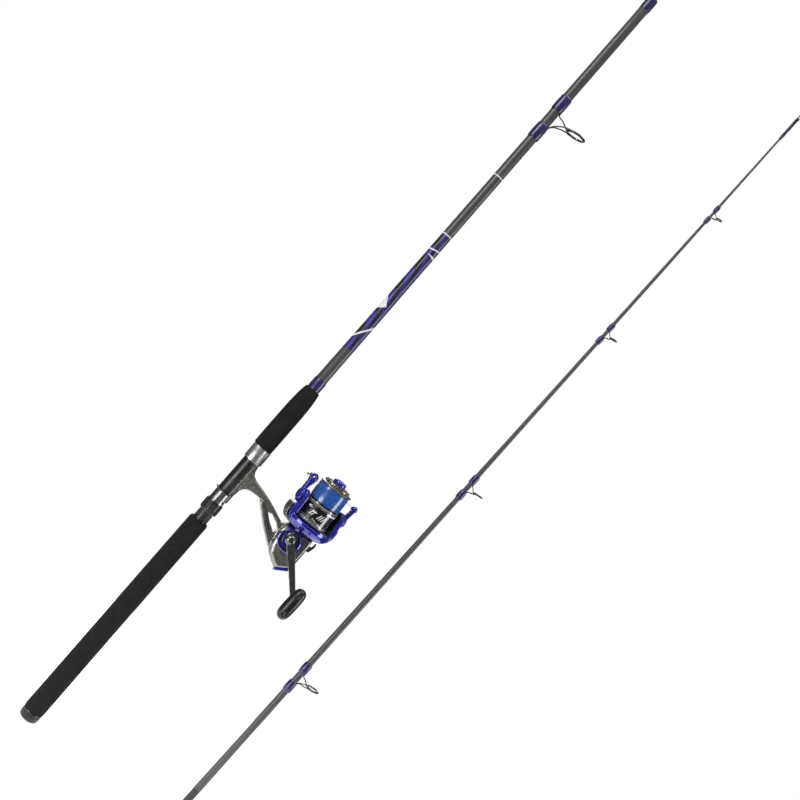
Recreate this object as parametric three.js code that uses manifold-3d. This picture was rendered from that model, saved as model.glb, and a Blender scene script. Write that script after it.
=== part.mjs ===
// A two-piece spinning rod with its reel. The butt section stands upright with the reel clamped in its seat, and
// the tip section stands drawn off beside it. Millimetres, +Z up along the butt section, +X towards the reel.
// The origin is the centre of the butt cap's flat end.
import * as THREE from 'three';
import { mergeVertices } from 'three/addons/utils/BufferGeometryUtils.js';
import Module from 'manifold-3d';

const wasm = await Module();
wasm.setup();

// ---------------------------------------------------------------------------------------------- driving sizes
const GAP = 0.3; // what two touching pieces keep between them
const SIDES = 20; // sides of an ordinary round piece
const SLIM_SIDES = 14; // sides of a slim one

// Heights along the butt section.
const CAP_TOP = 13.7;
const REAR_GRIP_TOP = 344.4;
const THREAD_TOP = 361;
const NUT_BOTTOM = 360.2;
const HOOD_BOTTOM = 377;
const HOOD_TOP = 395.1;
const FIXED_HOOD_BOTTOM = 448.7;
const FIXED_HOOD_TOP = 470.3;
const FORE_GRIP_TOP = 571.4;
const BUTT_TOP = 1252;

// Radii of the butt blank at a few heights: [radius, z].
const BUTT_BLANK = [[9, 5], [8.35, 571], [8.2, 590], [7.45, 793], [7.15, 988], [6.9, 1182], [6.8, BUTT_TOP]];
const SOCKET_RADIUS = 5.65;
const SOCKET_BOTTOM = 1170;

// The tip section: where its lower end stands, its lean, and its radii along its own axis.
const TIP_X = 229.3;
const TIP_LEAN = THREE.MathUtils.degToRad(0.79);
const SPIGOT_LENGTH = 75.6;
const TIP_BLANK = [
  [5.7, 76], [4.7, 229], [4.35, 320], [3.95, 451], [3.45, 581], [2.95, 711],
  [2.6, 842], [2.3, 972], [1.95, 1050], [1.7, 1128], [1.25, 1233], [1.15, 1250],
];

// The reel seat.
const SEAT_RADIUS = 10.6;
const SEAT_BORE = 9.2;
const FOOT_WIDTH = 15;
const FOOT_THICK = 1.9;
const FOOT_BOTTOM = 383;
const FOOT_TOP = 462;

// The main shaft's line: the centre of the spool's front lip and the lean of the shaft towards the rod.
const SPOOL_X = 108.3;
const SPOOL_Z = 494.2;
const SHAFT_LEAN = -THREE.MathUtils.degToRad(2.73);
const SHAFT_RADIUS = 1.9;

// The reel body and the crank.
const BODY_HALF = 16.5;
const BODY_WALL = 3;
const CRANK_X = 107.4;
const CRANK_Z = 410;
const COVER_X = 107.6;
const COVER_Z = 404;
const COVER_RADIUS = 16.3;
const NECK_RADIUS = 18.3;
const NECK_TOP = -51;
const DRIVE_TEETH = 41;
const PINION_TEETH = 8;
const SMALL_TEETH = 12;
const LARGE_TEETH = 24;
const TOOTH_MODULE = 1;

// The rotor, the bail and the spool, along the shaft from the spool's lip.
const ROTOR_BOTTOM = -72;
const ARM_HALF = 10.5;
const BAIL_PIVOT = -33;
const ROLLER_X = -35.5;
const ROLLER_Y = 2.5; // the side of the bail arm's cup that the roller turns against
const ROLLER_Z = -6;
const HOLDER_X = 41.3;
const HOLDER_Z = -10;
const LIP_RADIUS = 24.3;
const SKIRT_RADIUS = 23.75;
const SKIRT_BOTTOM = -57.6;
const DRAG_KNOB_TOP = 10.6;
const DRAG_KNOB_RADIUS = 9.6;

// The handle.
const HUB_Y = -43;
const ARM_END = new THREE.Vector3(160.6, -54, 354.6);
const KNOB_LENGTH = 47;
const KNOB_RADIUS = 9;

// -------------------------------------------------------------------------------------------------- materials
function finish(color, roughness, metalness) {
  return new THREE.MeshStandardMaterial({ color, roughness, metalness });
}

const FOAM = finish(0x121212, 0.9, 0);
const RUBBER = finish(0x161616, 0.7, 0);
const CARBON = finish(0x4b4b4b, 0.35, 0.1);
const BLACK_PLASTIC = finish(0x101012, 0.4, 0);
const STEEL = finish(0xa5a5a5, 0.35, 1);
const THREAD = finish(0x1e195a, 0.2, 0);
const BLACK_WIRE = finish(0x1a1a1c, 0.3, 0.6);
const CERAMIC = finish(0x0c0c0e, 0.15, 0);
const PEWTER = finish(0x77756c, 0.3, 0.7);
const BLUE = finish(0x2d2896, 0.15, 0.2);
const BRASS = finish(0xb08d4a, 0.35, 1);
const CHROME = finish(0xcfcfd2, 0.12, 1);
const LINE_BLUE = finish(0x285aaa, 0.25, 0);
const SPOOL_BLACK = finish(0x141416, 0.25, 0.3);
const GUNMETAL = finish(0x3a3c3c, 0.3, 0.8);

// ---------------------------------------------------------------------------------------------------- helpers
// A geometry with its shared vertices merged. What comes out of a cut or a join is merged already.
function indexed(geometry) {
  if (geometry.userData.merged) return geometry;
  const bare = geometry.index ? geometry.toNonIndexed() : geometry.clone();
  bare.deleteAttribute('normal');
  bare.deleteAttribute('uv');
  return mergeVertices(bare, 1e-4);
}

// A closed geometry as a manifold-3d solid, with its faces turned outwards.
function solid(geometry) {
  const merged = indexed(geometry);
  const index = merged.index.array;
  const kept = [];
  for (let i = 0; i < index.length; i += 3) {
    const [a, b, c] = [index[i], index[i + 1], index[i + 2]];
    if (a !== b && b !== c && a !== c) kept.push([a, b, c]);
  }
  const vertProperties = new Float32Array(merged.attributes.position.array);
  const made = (faces) =>
    new wasm.Manifold(new wasm.Mesh({ numProp: 3, vertProperties, triVerts: new Uint32Array(faces.flat()) }));
  const first = made(kept);
  return first.volume() > 0 ? first : made(kept.map(([a, b, c]) => [a, c, b]));
}

function geometryOf(manifold) {
  const mesh = manifold.getMesh();
  const geometry = new THREE.BufferGeometry();
  geometry.setAttribute('position', new THREE.BufferAttribute(new Float32Array(mesh.vertProperties), 3));
  geometry.setIndex(new THREE.BufferAttribute(new Uint32Array(mesh.triVerts), 1));
  geometry.userData.merged = true;
  return geometry;
}

function join(first, ...others) {
  return geometryOf(others.reduce((sum, next) => sum.add(solid(next)), solid(first)));
}

function cut(first, ...others) {
  return geometryOf(others.reduce((rest, next) => rest.subtract(solid(next)), solid(first)));
}

function common(first, second) {
  return geometryOf(solid(first).intersect(solid(second)));
}

// A shape turned about Z from [radius, z] points. A profile that starts off the axis closes on itself.
function turned(profile, sides = SIDES) {
  const points = profile.map(([r, z]) => new THREE.Vector2(r, z));
  if (profile[0][0] > 0) points.push(points[0].clone());
  return new THREE.LatheGeometry(points, sides).rotateX(Math.PI / 2);
}

// The same, turned about a line along Y through (x, z). The profile's second number is then y.
function turnedAlongY(profile, x, z, sides = SIDES) {
  return turned(profile, sides).rotateX(-Math.PI / 2).translate(x, 0, z);
}

// A round bar between two points.
function bar(radius, from, to, sides = 12) {
  const a = new THREE.Vector3(...from);
  const b = new THREE.Vector3(...to);
  const along = b.clone().sub(a);
  const turn = new THREE.Quaternion().setFromUnitVectors(new THREE.Vector3(0, 1, 0), along.clone().normalize());
  const middle = a.add(b).multiplyScalar(0.5);
  return new THREE.CylinderGeometry(radius, radius, along.length(), sides)
    .applyQuaternion(turn)
    .translate(middle.x, middle.y, middle.z);
}

function box(low, high) {
  const size = high.map((value, i) => value - low[i]);
  const middle = high.map((value, i) => (value + low[i]) / 2);
  return new THREE.BoxGeometry(...size).translate(...middle);
}

// A wire bent through points.
function wire(points, radius, steps, sides = 6) {
  const path = new THREE.CatmullRomCurve3(points.map((p) => new THREE.Vector3(...p)));
  return new THREE.ExtrudeGeometry(outlineShape(polygon(radius, sides)), { steps, extrudePath: path });
}

function polygon(radius, sides) {
  const step = (2 * Math.PI) / sides;
  return Array.from({ length: sides }, (_, i) => [radius * Math.cos(i * step), radius * Math.sin(i * step)]);
}

function outlineShape(points) {
  return new THREE.Shape(points.map(([a, b]) => new THREE.Vector2(a, b)));
}

function extruded(shape, depth, bevel) {
  return new THREE.ExtrudeGeometry(shape, {
    depth: depth - 2 * bevel,
    bevelEnabled: bevel > 0,
    bevelThickness: bevel,
    bevelSize: bevel,
    bevelOffset: -bevel,
    bevelSegments: 2,
    curveSegments: 12,
  }).translate(0, 0, bevel);
}

// An outline of [x, z] points, thickened along Y from near to far.
function plate(points, near, far, bevel = 0) {
  return extruded(outlineShape(points), far - near, bevel).translate(0, 0, -far).rotateX(Math.PI / 2);
}

// A shape in the YZ plane, thickened along X.
function slab(shape, low, high) {
  const basis = new THREE.Matrix4().makeBasis(
    new THREE.Vector3(0, 1, 0), new THREE.Vector3(0, 0, 1), new THREE.Vector3(1, 0, 0));
  return extruded(shape, high - low, 0).applyMatrix4(basis).translate(low, 0, 0);
}

function radiusAt(profile, z) {
  const next = Math.max(1, profile.findIndex((point) => point[1] >= z));
  const [r0, z0] = profile[next - 1];
  const [r1, z1] = profile[next];
  return r0 + ((r1 - r0) * (z - z0)) / (z1 - z0);
}

function part(parent, name, geometry, material) {
  const mesh = new THREE.Mesh(geometryOf(solid(geometry)), material);
  mesh.name = name;
  parent.add(mesh);
}

// ------------------------------------------------------------------------------------------------------ frames
const rodAndReel = new THREE.Group();
const buttSection = new THREE.Group();
const tipSection = new THREE.Group();
tipSection.position.set(TIP_X, 0, 0);
tipSection.rotation.y = TIP_LEAN;
const reel = new THREE.Group();
// Everything on the main shaft is laid out in this group, with z = 0 at the spool's front lip.
const onShaft = new THREE.Group();
onShaft.position.set(SPOOL_X, 0, SPOOL_Z);
onShaft.rotation.y = SHAFT_LEAN;
// The rotor and its bail stand part of a turn round the shaft.
const onRotor = new THREE.Group();
onRotor.rotation.z = THREE.MathUtils.degToRad(28);
onShaft.add(onRotor);
rodAndReel.add(buttSection, tipSection, reel, onShaft);

function shaftToWorld(geometry) {
  return geometry.rotateY(SHAFT_LEAN).translate(SPOOL_X, 0, SPOOL_Z);
}

// ---------------------------------------------------------------------------------------------- butt section
function buttBlank() {
  const top = SOCKET_BOTTOM - GAP;
  return turned([...BUTT_BLANK.slice(0, -2), [radiusAt(BUTT_BLANK, top), top], [5.2, top], [6.4, 590], [7, 5]]);
}

// The end of the blank that takes the spigot is a piece of its own, so that its bore stays open for collision.
function ferruleSleeve() {
  return sleeve(SOCKET_RADIUS, SOCKET_BOTTOM, BUTT_TOP, [
    [radiusAt(BUTT_BLANK, SOCKET_BOTTOM), SOCKET_BOTTOM], ...BUTT_BLANK.slice(-2),
  ]);
}

function sleeve(inner, bottom, top, outer, sides = SIDES) {
  return turned([[inner, bottom], ...outer, [inner, top]], sides);
}

function buttCap() {
  return turned([[0, 0], [10.5, 0], [12.8, 1], [13.9, 4], [14.1, CAP_TOP], [9.4, CAP_TOP], [9.4, 4.6], [0, 4.6]]);
}

function rearGrip() {
  const bottom = CAP_TOP + GAP;
  return sleeve(9.4, bottom, REAR_GRIP_TOP, [
    [13.6, bottom], [14.45, bottom + 1.5], [14, REAR_GRIP_TOP - 2.5], [12.6, REAR_GRIP_TOP],
  ]);
}

// The seat tube: a threaded stretch at the bottom, then plain up to the end of the fixed hood.
function reelSeat() {
  const bottom = REAR_GRIP_TOP + GAP;
  const pitch = 2.5;
  const ridges = [];
  for (let z = bottom + 0.8; z < THREAD_TOP; z += pitch) {
    ridges.push([SEAT_RADIUS - 0.6, z], [SEAT_RADIUS, z + pitch / 2]);
  }
  return sleeve(SEAT_BORE, bottom, FIXED_HOOD_TOP, [
    [SEAT_RADIUS - 0.6, bottom], ...ridges, [SEAT_RADIUS, THREAD_TOP + 2], [SEAT_RADIUS, FIXED_HOOD_TOP],
  ]);
}

// A hood is a ring on the seat tube with a raised pocket on the reel's side, where the foot's end goes.
function hood(bottom, top, pocketFrom, pocketTo, bore) {
  const ring = turned([[bore, bottom], [12.2, bottom], [12.4, bottom + 1], [12.4, top - 1], [12.2, top], [bore, top]]);
  const bulge = turned([[0, bottom], [14.2, bottom], [14.5, bottom + 1], [14.5, top - 1], [14.2, top], [0, top]]);
  const side = box([6, -9.2, bottom - 1], [16, 9.2, top + 1]);
  const pocket = turned([[0, pocketFrom], [13.2, pocketFrom], [13.2, pocketTo], [0, pocketTo]]);
  const slot = box([6, -FOOT_WIDTH / 2 - GAP, pocketFrom - 1], [16, FOOT_WIDTH / 2 + GAP, pocketTo + 1]);
  const through = turned([[0, bottom - 2], [bore, bottom - 2], [bore, top + 2], [0, top + 2]]);
  return cut(join(ring, common(bulge, side)), common(pocket, slot), through);
}

function lockNut() {
  const bottom = NUT_BOTTOM;
  const top = HOOD_BOTTOM - GAP;
  const nut = sleeve(SEAT_RADIUS + GAP, bottom, top, [
    [12.2, bottom], [12.8, bottom + 1.2], [12.8, top - 2], [12.3, top],
  ]);
  const grooves = [];
  for (let i = 0; i < 12; i += 1) {
    const angle = ((i + 0.5) * Math.PI) / 6;
    const at = [13.7 * Math.cos(angle), 13.7 * Math.sin(angle)];
    grooves.push(bar(1.4, [...at, bottom + 2.5], [...at, top + 1], 8));
  }
  return cut(nut, ...grooves);
}

function foreGrip() {
  const bottom = FIXED_HOOD_TOP + GAP;
  return sleeve(9, bottom, FORE_GRIP_TOP, [
    [12.8, bottom], [13.9, bottom + 2], [13.95, 520], [13.7, 540], [12.9, 556], [11.6, 567], [10.2, FORE_GRIP_TOP],
  ]);
}

function winding(bottom, top, profile, thick = 1.55, sides = SIDES) {
  const inner = radiusAt(profile, bottom) + 0.25;
  const outer = radiusAt(profile, (bottom + top) / 2) + thick;
  const edge = outer - 0.42 * thick;
  return sleeve(inner, bottom, top, [[edge, bottom], [outer, bottom + 2], [outer, top - 2], [edge, top]], sides);
}

// ------------------------------------------------------------------------------------------------ line guides
// A guide is a wire frame with one front leg, two rear legs and a flat foot at each end, a ring in the frame, and
// thread wound over the feet. The sizes are for a blank along Z with the ring out along +X.
const RING_TILT = THREE.MathUtils.degToRad(8);

function ringAt(guide, profile, sides) {
  return turned(profile, sides).rotateY(-RING_TILT).translate(guide.reach, 0, guide.z);
}

function footBoxes(guide, blank, width, low, high) {
  return guide.windings.map(([bottom, top], i) => {
    const surface = radiusAt(blank, (bottom + top) / 2);
    const outward = 0.75 * (top - bottom);
    const [from, to] = i === 0 ? [top - outward, top + 1.5] : [bottom - 1.5, bottom + outward];
    return box([surface + low, -width / 2, from], [surface + high, width / 2, to]);
  });
}

function guideFrame(guide, blank) {
  const { z, reach, ring, gauge } = guide;
  const [[, rearTop], [frontBottom]] = guide.windings;
  const inner = ring - 1.2 * gauge;
  const rim = ringAt(guide, [[inner, -gauge], [ring, -gauge], [ring, gauge], [inner, gauge]], SIDES);
  const surface = radiusAt(blank, z) + 0.7;
  const nearEdge = reach - ring + gauge;
  const lean = Math.sin(RING_TILT);
  const front = wire(
    [[surface, 0, frontBottom - 0.6], [(surface + nearEdge) / 2, 0, z + 0.45 * (frontBottom - z)],
      [nearEdge, 0, z - ring * lean]],
    gauge, 4);
  const rear = [-1, 1].map((side) => wire(
    [[surface, side * 0.4 * gauge, rearTop + 0.6], [surface + 0.45 * (reach - surface), side * 0.55 * ring, z - 3.5],
      [reach - 0.25 * ring, side * (ring - 0.7 * gauge) * 0.968, z - 0.25 * ring * lean]],
    gauge, 5));
  return join(rim, front, ...rear, ...footBoxes(guide, blank, guide.foot, 0.25, 0.95));
}

function guideRing(guide) {
  const { ring, gauge } = guide;
  const outer = ring - 1.2 * gauge - GAP - 0.1;
  const inner = outer - 0.17 * ring;
  const half = gauge + 0.2;
  return ringAt(guide, [
    [inner, -0.4 * half], [(inner + outer) / 2, -half], [outer, -0.7 * half], [outer, 0.7 * half],
    [(inner + outer) / 2, half], [inner, 0.4 * half],
  ], SLIM_SIDES);
}

const STRIPPER = { z: 1049, reach: 41, ring: 15, gauge: 0.95, foot: 3.2, windings: [[1009, 1033], [1056, 1080]] };
const GUIDES = [
  { name: 'guide_2', z: 274, reach: 25, ring: 10, gauge: 0.75, foot: 2.4, windings: [[249, 266], [280, 297]] },
  { name: 'guide_3', z: 609, reach: 16.6, ring: 8, gauge: 0.65, foot: 1.8, windings: [[588, 602], [614, 628]] },
  { name: 'guide_4', z: 880, reach: 13.2, ring: 6, gauge: 0.55, foot: 1.5, windings: [[862, 874], [884, 896]] },
  { name: 'guide_5', z: 1090, reach: 11.4, ring: 5, gauge: 0.5, foot: 1.3, windings: [[1074, 1085], [1093, 1104]] },
];

function footGrooves(guide, blank) {
  return footBoxes(guide, blank, guide.foot + 0.6, -1.5, 1.25);
}

// On the slim tip section one coat of finish runs under the frame from one winding to the other.
function pairedWinding(guide, blank) {
  const [[bottom, low], [high, top]] = guide.windings;
  const inner = radiusAt(blank, bottom) + 0.2;
  const outer = radiusAt(blank, guide.z) + 1.55;
  const coat = radiusAt(blank, low) + 0.65;
  const whole = sleeve(inner, bottom, top, [
    [outer - 0.7, bottom], [outer, bottom + 2], [outer, low - 2], [outer - 0.7, low], [coat, low + 0.3],
    [coat, high - 0.3], [outer - 0.7, high], [outer, high + 2], [outer, top - 2], [outer - 0.7, top],
  ], 12);
  const slot = box([0, -guide.foot / 2 - GAP, low - 4], [inner + 2.5, guide.foot / 2 + GAP, high + 4]);
  return cut(whole, common(slot, turned([[0, low - 4], [outer - 0.3, low - 4], [outer - 0.3, high + 4], [0, high + 4]])),
    ...footGrooves(guide, blank));
}

// ------------------------------------------------------------------------------------------------ tip section
function tipBlank() {
  return turned([
    ...TIP_BLANK, [0, 1250], [0, 830], [1.6, 780], [2.6, 451], [4.3, 129], [4.7, 126], [4.7, 76],
  ].reverse(), SLIM_SIDES);
}

function spigot() {
  return turned([
    [0, 0], [4.6, 0], [5.3, 1], [5.4, 4], [5.45, SPIGOT_LENGTH], [4.4, SPIGOT_LENGTH], [4.3, 120], [0, 120],
  ], SLIM_SIDES);
}

const TIP_TOP = { z: 1264, reach: 3.2, ring: 4.5, gauge: 0.45 };

function tipTop() {
  const { z, reach, ring, gauge } = TIP_TOP;
  const tube = turned([
    [1.55, 1236], [2.1, 1236], [2.1, 1256], [1.2, 1259.5], [0, 1259.5], [0, 1250.5], [1.55, 1250.5],
  ], 12);
  const inner = ring - 1.6 * gauge;
  const rim = ringAt(TIP_TOP, [[inner, -gauge], [ring, -gauge], [ring, gauge], [inner, gauge]], 20);
  const neck = wire([[0, 0, 1257], [-0.6, 0, 1260.5], [reach - ring + gauge, 0, z - ring * Math.sin(RING_TILT)]], 0.7, 4);
  const struts = [-1, 1].map((side) => wire(
    [[1.2, side * 0.8, 1252], [2.6, side * 3, 1258.5], [reach, side * (ring - 0.4), z]], gauge, 4));
  return join(tube, neck, rim, ...struts);
}

function tipTopRing() {
  const outer = TIP_TOP.ring - 1.6 * TIP_TOP.gauge - GAP;
  return ringAt(TIP_TOP, [[outer - 0.9, -0.3], [outer, -0.5], [outer, 0.5], [outer - 0.9, 0.3]], 20);
}

// -------------------------------------------------------------------------------------------------- reel body
// The side view of the stem, the rear strut and the housing, as [x, z].
const SIDE_VIEW = [
  [11.2, 446], [13.2, 440.5], [16.9, 434], [28, 430.2], [42.6, 426.8], [62, 420.8], [76, 415], [82.5, 412.8],
  [86, 415.5], [90.5, 419.6], [96.8, 420.2], [128.4, 421.7], [131.6, 417.5], [131.8, 400], [131.2, 380],
  [129.6, 375.4], [113.8, 363.8], [106.6, 367], [93, 375.8], [81.1, 384.5], [63.9, 397.7], [52, 408.2],
  [46, 413.3], [39.6, 418], [30, 417.6], [20.2, 415], [14.6, 408], [12, 400],
];
const HOUSING = [
  [90.5, 419.6], [96.8, 420.2], [128.4, 421.7], [131.6, 417.5], [131.8, 400], [131.2, 380],
  [129.6, 375.4], [113.8, 363.8], [106.6, 367], [96, 374], [90, 388], [87.5, 404],
];
const WINDOW = [[60.5, 411.3], [71, 402.5], [81.5, 396], [84.4, 398], [84, 403.6], [78.5, 408.4], [67, 413.5]];
const CAVITY = [
  [94, 417], [128, 418.4], [128.6, 400], [128, 381], [117, 372], [108, 370.5], [99, 377], [93.5, 389], [91, 404],
];
const TAIL_CUT = [[117, 372], [128, 381], [136, 370], [123, 362]];

function foot() {
  const half = FOOT_WIDTH / 2;
  const inner = SEAT_RADIUS + GAP;
  const outer = inner + FOOT_THICK;
  const band = turned([
    [inner, FOOT_BOTTOM], [outer - 0.6, FOOT_BOTTOM], [outer, HOOD_TOP + 0.8], [outer + 1.2, HOOD_TOP + 7],
    [outer + 2.4, 424], [outer + 1.2, FIXED_HOOD_BOTTOM - 7], [outer, FIXED_HOOD_BOTTOM - 0.8], [outer - 0.6, FOOT_TOP],
    [inner, FOOT_TOP],
  ]);
  return common(band, box([0, -half, FOOT_BOTTOM - 1], [20, half, FOOT_TOP + 1]));
}

function reelBody() {
  const stem = plate(SIDE_VIEW, -5.6, 5.6);
  const housing = plate(HOUSING, -BODY_HALF, BODY_HALF, 4.5);
  const neck = shaftToWorld(turned([
    [0, -80], [NECK_RADIUS, -80], [NECK_RADIUS, NECK_TOP - 1], [NECK_RADIUS - 1, NECK_TOP], [0, NECK_TOP],
  ], 24));
  const farBoss = turnedAlongY([[0, 10], [12, 10], [11, 19.5], [0, 19.5]], CRANK_X, CRANK_Z);
  const rim = turnedAlongY([[0, -17], [COVER_RADIUS, -17], [COVER_RADIUS, -10], [0, -10]], COVER_X, COVER_Z, 24);
  const seatClear = bar(SEAT_RADIUS + GAP, [0, 0, 380], [0, 0, 470], SIDES);
  const cavity = plate(CAVITY, BODY_WALL - BODY_HALF, BODY_HALF - BODY_WALL);
  const neckBore = shaftToWorld(turned([[0, -86], [16.9, -86], [16.9, -56], [0, -56]], 24));
  const bearingSeat = shaftToWorld(bar(7.3, [0, 0, -60], [0, 0, -48], SIDES));
  const opening = bar(14.6, [COVER_X, -20, COVER_Z], [COVER_X, -12, COVER_Z], 24);
  const farSeat = bar(8.3, [CRANK_X, 12, CRANK_Z], [CRANK_X, 16.5, CRANK_Z], SIDES);
  const farHole = bar(4.6, [CRANK_X, 12, CRANK_Z], [CRANK_X, 22, CRANK_Z], 16);
  return cut(
    join(stem, foot(), housing, neck, farBoss, rim),
    plate(WINDOW, -8, 8), seatClear, cavity, neckBore, bearingSeat, opening, farSeat, farHole,
    plate(TAIL_CUT, -11, 11), bar(COVER_RADIUS + GAP, [COVER_X, -24, COVER_Z], [COVER_X, -17, COVER_Z], 24));
}

// The round cover over the gear opening, with the boss that holds the crank's near bearing.
function sideCover() {
  const dish = turnedAlongY([[0, -17.3], [15.6, -17.3], [COVER_RADIUS, -18], [14.6, -20.4], [11, -21.4], [0, -21.4]],
    COVER_X, COVER_Z, 24);
  const plug = bar(14.2, [COVER_X, -17.4, COVER_Z], [COVER_X, -14, COVER_Z], 24);
  const boss = bar(9.3, [CRANK_X, -24, CRANK_Z], [CRANK_X, -15, CRANK_Z], SIDES);
  const seat = bar(7.3, [CRANK_X, -12, CRANK_Z], [CRANK_X, -21.5, CRANK_Z], SIDES);
  const hole = bar(4.6, [CRANK_X, -12, CRANK_Z], [CRANK_X, -26, CRANK_Z], 16);
  const hollow = cut(plug, bar(12.4, [COVER_X, -16.6, COVER_Z], [COVER_X, -12, COVER_Z], 24));
  const limit = turnedAlongY(
    [[0, -30], [COVER_RADIUS, -30], [COVER_RADIUS, -17.3], [14.2, -17.3], [14.2, -10], [0, -10]], COVER_X, COVER_Z, 24);
  return cut(join(dish, hollow, common(boss, limit)), seat, hole);
}

// The cap that closes the slanted tail of the housing.
function rearCap() {
  const plateOutline = [[113.9, 363.4], [114.2, 360.8], [117, 360.6], [130.6, 370.6], [131.6, 374], [129.9, 375]];
  return plate(plateOutline, -13.5, 13.5, 0.8);
}

function bearing(inner, outer, from, to) {
  return turned([[inner, from], [outer, from], [outer, to], [inner, to]], SLIM_SIDES);
}

function bearingAlongY(inner, outer, from, to) {
  return turnedAlongY([[inner, from], [outer, from], [outer, to], [inner, to]], CRANK_X, CRANK_Z, SLIM_SIDES);
}

function antiReverseLever() {
  const pivot = bar(4.2, [132.3, 0, 409], [134.2, 0, 409], 16);
  const tab = plate([[132.5, 406.5], [135.5, 405.5], [138.2, 414], [137.6, 420.4], [135.4, 420.8], [134, 412]], -3, 3, 0.6);
  return join(pivot, tab);
}

// ------------------------------------------------------------------------------------------------------ gears
function gearOutline(teeth, root, tip, share = 0.2) {
  const points = [];
  const step = (2 * Math.PI) / teeth;
  for (let i = 0; i < teeth; i += 1) {
    const at = i * step;
    for (const [radius, offset] of [[root, -0.28], [tip, -share / 2], [tip, share / 2], [root, 0.28]]) {
      points.push([radius * Math.cos(at + offset * step), radius * Math.sin(at + offset * step)]);
    }
  }
  return points;
}

// A spur gear about a line along Y, from near to far, turned by some part of a tooth.
function spurGear(teeth, x, z, near, far, turn, bore = 0) {
  const pitch = (teeth * TOOTH_MODULE) / 2;
  const shape = outlineShape(gearOutline(teeth, pitch - 1, pitch + 0.75));
  if (bore > 0) shape.holes.push(new THREE.Path().absarc(0, 0, bore, 0, 2 * Math.PI, true));
  return extruded(shape, far - near, 0).rotateZ(turn).translate(0, 0, -far).rotateX(Math.PI / 2).translate(x, 0, z);
}

const LARGE_Z = CRANK_Z - ((SMALL_TEETH + LARGE_TEETH) * TOOTH_MODULE) / 2;

// The face gear on its shaft, with the small gear that drives the oscillation gear.
function driveGear() {
  const shaft = turnedAlongY([
    [0, -36], [3.8, -36], [3.8, -9], [11.6, -9], [11.6, -5.4], [2.6, -5.4], [2.6, 3.6], [4, 3.6], [4, 15.8], [0, 15.8],
  ], CRANK_X, CRANK_Z);
  const face = extruded(outlineShape(gearOutline(DRIVE_TEETH, 11.7, 13.2, 0.34)), 2, 0)
    .rotateX(Math.PI / 2)
    .translate(CRANK_X, -3.65, CRANK_Z);
  return join(shaft, face, spurGear(SMALL_TEETH, CRANK_X, CRANK_Z, 3.6, 7, 0));
}

function oscillationGear() {
  const gear = spurGear(LARGE_TEETH, CRANK_X, LARGE_Z, 3.6, 7, Math.PI / LARGE_TEETH);
  const stub = bar(2, [CRANK_X, 6, LARGE_Z], [CRANK_X, 12.8, LARGE_Z]);
  const pin = bar(1.5, [CRANK_X - 7, 2.4, LARGE_Z], [CRANK_X - 7, 4, LARGE_Z]);
  return join(gear, stub, pin);
}

// The block on the main shaft that the oscillation gear's pin pushes to and fro.
function slider() {
  const x = SPOOL_X - (LARGE_Z - SPOOL_Z) * Math.tan(-SHAFT_LEAN);
  const block = box([CRANK_X - 9.4, -3, LARGE_Z - 4], [x + 4, 2, LARGE_Z + 4]);
  const groove = box([CRANK_X - 8.6, 0.4, LARGE_Z - 1.8], [x - 3, 3, LARGE_Z + 1.8]);
  const bore = shaftToWorld(bar(SHAFT_RADIUS + GAP, [0, 0, -120], [0, 0, -80], 16));
  return cut(block, groove, bore);
}

function pinionGear() {
  const teeth = extruded(outlineShape(gearOutline(PINION_TEETH, 2.7, 3.2, 0.3)), 9.5, 0).translate(0, 0, -75.5);
  const shank = turned([[0, -66.5], [3.4, -66.5], [3.4, -42], [0, -42]], 16);
  return cut(join(teeth, shank), bar(SHAFT_RADIUS + GAP, [0, 0, -80], [0, 0, -38], 16));
}

// ------------------------------------------------------------------------------------------------------ rotor
function rotorArm(side, outer) {
  const view = [
    [24, -69.5], [32, -67.2], [36, -62], [38.3, -54], [38.4, -45.5], [outer, -43.5], [outer, -20],
    [28.3, -20], [28.3, -50], [29.5, -58], [25, -64],
  ].map(([x, z]) => [side * x, z]);
  const face = new THREE.Shape();
  face.moveTo(-ARM_HALF - 1.5, -75);
  face.lineTo(ARM_HALF + 1.5, -75);
  face.lineTo(ARM_HALF, -46);
  face.lineTo(ARM_HALF, BAIL_PIVOT);
  face.absarc(0, BAIL_PIVOT, ARM_HALF, 0, Math.PI);
  face.lineTo(-ARM_HALF, -46);
  const low = Math.min(side * 20, side * 45);
  return common(plate(view, -14, 14), slab(face, low, low + 25));
}

function rotor() {
  const cup = turned([
    [3.8, -50], [NECK_RADIUS + 0.7, -50], [NECK_RADIUS + 0.7, ROTOR_BOTTOM], [22, ROTOR_BOTTOM], [27, -71],
    [33, -66.5], [35.5, -60.5], [35.5, -57], [34, -57], [31.8, -62.2], [27, -67], [24, -68.4], [20.8, -68.4],
    [20.8, -47.5], [3.8, -47.5],
  ], 24);
  const pins = [[-34, -37.8], [36, 39.6]].map(([from, to]) => bar(2, [from, 0, BAIL_PIVOT], [to, 0, BAIL_PIVOT]));
  return join(cup, rotorArm(-1, 34.4), rotorArm(1, 36.4), ...pins);
}

// The plate on the outside of the roller-side arm.
function armCover() {
  return plate([
    [-38.8, -46], [-41, -48], [-40.8, -58], [-37.5, -65.5], [-33.6, -69], [-32.8, -67.6], [-36.4, -62.2], [-38.7, -54],
  ], -7, 7, 0.3);
}

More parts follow.
